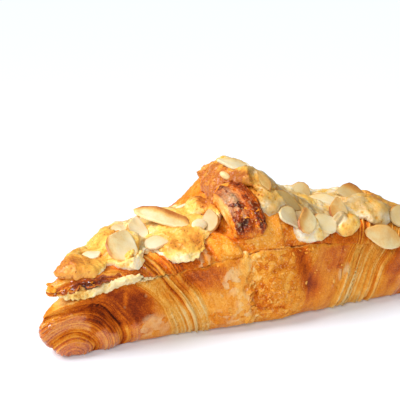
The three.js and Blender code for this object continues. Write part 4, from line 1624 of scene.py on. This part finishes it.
bpy.ops.object.select_all(action="DESELECT")
bpy.ops.mesh.primitive_grid_add(x_subdivisions=5, y_subdivisions=3, size=CUBE_SIDE)
flake = bpy.context.object
flake.name = "one_flake"
modify(flake, "SOLIDIFY", thickness=FLAKE_THICK, offset=0.0)
flake_form = points_of(flake) * MM
flake_form[:, 1] *= 1 - FLAKE_TAPER * np.abs(flake_form[:, 0]) ** FLAKE_ROUND
flake_form[:, 2] += FLAKE_CURL * flake_form[:, 0] ** 2
flake_faces = np.array([p.vertices[:] for p in flake.data.polygons])
bpy.data.objects.remove(flake)
print("one flake:", len(flake_form), "points")

# %% Flakes: set on the crust
FLAKE_SEED = 5
FLAKES = [
    ((-11.5, 16.0), (1.6, 9.0), 34, (0.5, 1.3)),
    ((-6.0, 12.0), (4.0, 7.0), 30, (0.3, 0.9)),
    ((2.0, 16.0), (7.0, 9.0), 44, (0.25, 0.8)),
    ((16.0, 20.0), (2.0, 8.0), 6, (0.3, 0.6)),
    ((-20.0, 8.0), (8.0, 4.0), 12, (0.4, 1.1)),
    ((29.0, 18.0), (5.0, 8.0), 10, (0.4, 1.0)),
    ((14.0, 29.5), (20.0, 0.8), 26, (0.3, 0.8)),
    ((-30.0, 28.0), (16.0, 0.8), 16, (0.3, 0.7)),
]
TAIL_CRUMBS = [((-10.0, 44.5), (3.0, 4.0), 26, (0.4, 1.1))]
LID_SHARDS = [
    ((-84.0, 26.5), (4.0, 1.4), 8, (0.7, 1.5)),
    ((-72.0, 29.0), (10.0, 1.0), 4, (0.3, 0.7)),
]
FRONT_OF = -12.0
FLAKE_SPREAD = 0.6
FLAKE_TILT = 0.35
FLAKE_SLIM = (0.35, 0.8)
FLAKE_LOW = 0.7
FLAKE_UP = 0.15
FLAKE_TONES = (0.12, 0.5)
FLAKE_GLOSS = 0.3


def flakes_on(piece, clusters, draw):
    points = points_of(piece)
    normals = normals_of(piece)
    on_front = np.flatnonzero(points[:, 1] < FRONT_OF)
    for centre, spread, count, size in clusters:
        for _ in range(count):
            wanted = np.array(centre) + np.array(spread) * draw.normal(0, FLAKE_SPREAD, 2)
            index = on_front[np.hypot(*(points[on_front][:, [0, 2]] - wanted).T).argmin()]
            up = normals[index] + draw.normal(0, FLAKE_TILT, 3)
            up /= np.linalg.norm(up)
            side = np.cross(up, draw.normal(0, 1, 3))
            side /= np.linalg.norm(side)
            axes = np.array([side, np.cross(up, side), up])
            scale = draw.uniform(*size) * np.array([1.0, draw.uniform(*FLAKE_SLIM), FLAKE_LOW])
            yield points[index] + FLAKE_UP * normals[index] + (flake_form * scale) @ axes


draw = np.random.default_rng(FLAKE_SEED)
flakes = []
for piece, clusters in ((lower, FLAKES), (tail, TAIL_CRUMBS), (upper, LID_SHARDS)):
    flakes += flakes_on(piece, clusters, draw)
corners = np.concatenate(flakes) * MM
corners[:, 2] = np.maximum(corners[:, 2], 0)
faces = np.concatenate([flake_faces + i * len(flake_form) for i in range(len(flakes))])
mesh = bpy.data.meshes.new("pastry_flakes")
mesh.from_pydata(corners.tolist(), [], faces.tolist())
shards = bpy.data.objects.new("pastry_flakes", mesh)
bpy.context.scene.collection.objects.link(shards)
flat = np.zeros(len(corners))
tint = np.repeat(draw.uniform(*FLAKE_TONES, len(flakes)), len(flake_form))
plain = dict.fromkeys(("layers", "reach", "turn", "crisp", "dust"), flat)
store(shards, brown=tint, **plain, gloss=flat + FLAKE_GLOSS)
finish_piece(shards, crust, "crust")

# %% [markdown]
# The boxes of the imported and the dressed croissant are kept together, and the dressed one is printed.
# The dressed croissant may stand only a little proud of the imported one.

boxes = {"cad": [list(corner) for corner in cad_box], "visual": [list(corner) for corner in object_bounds()]}
print("visual box in mm:", in_mm(boxes["visual"]))
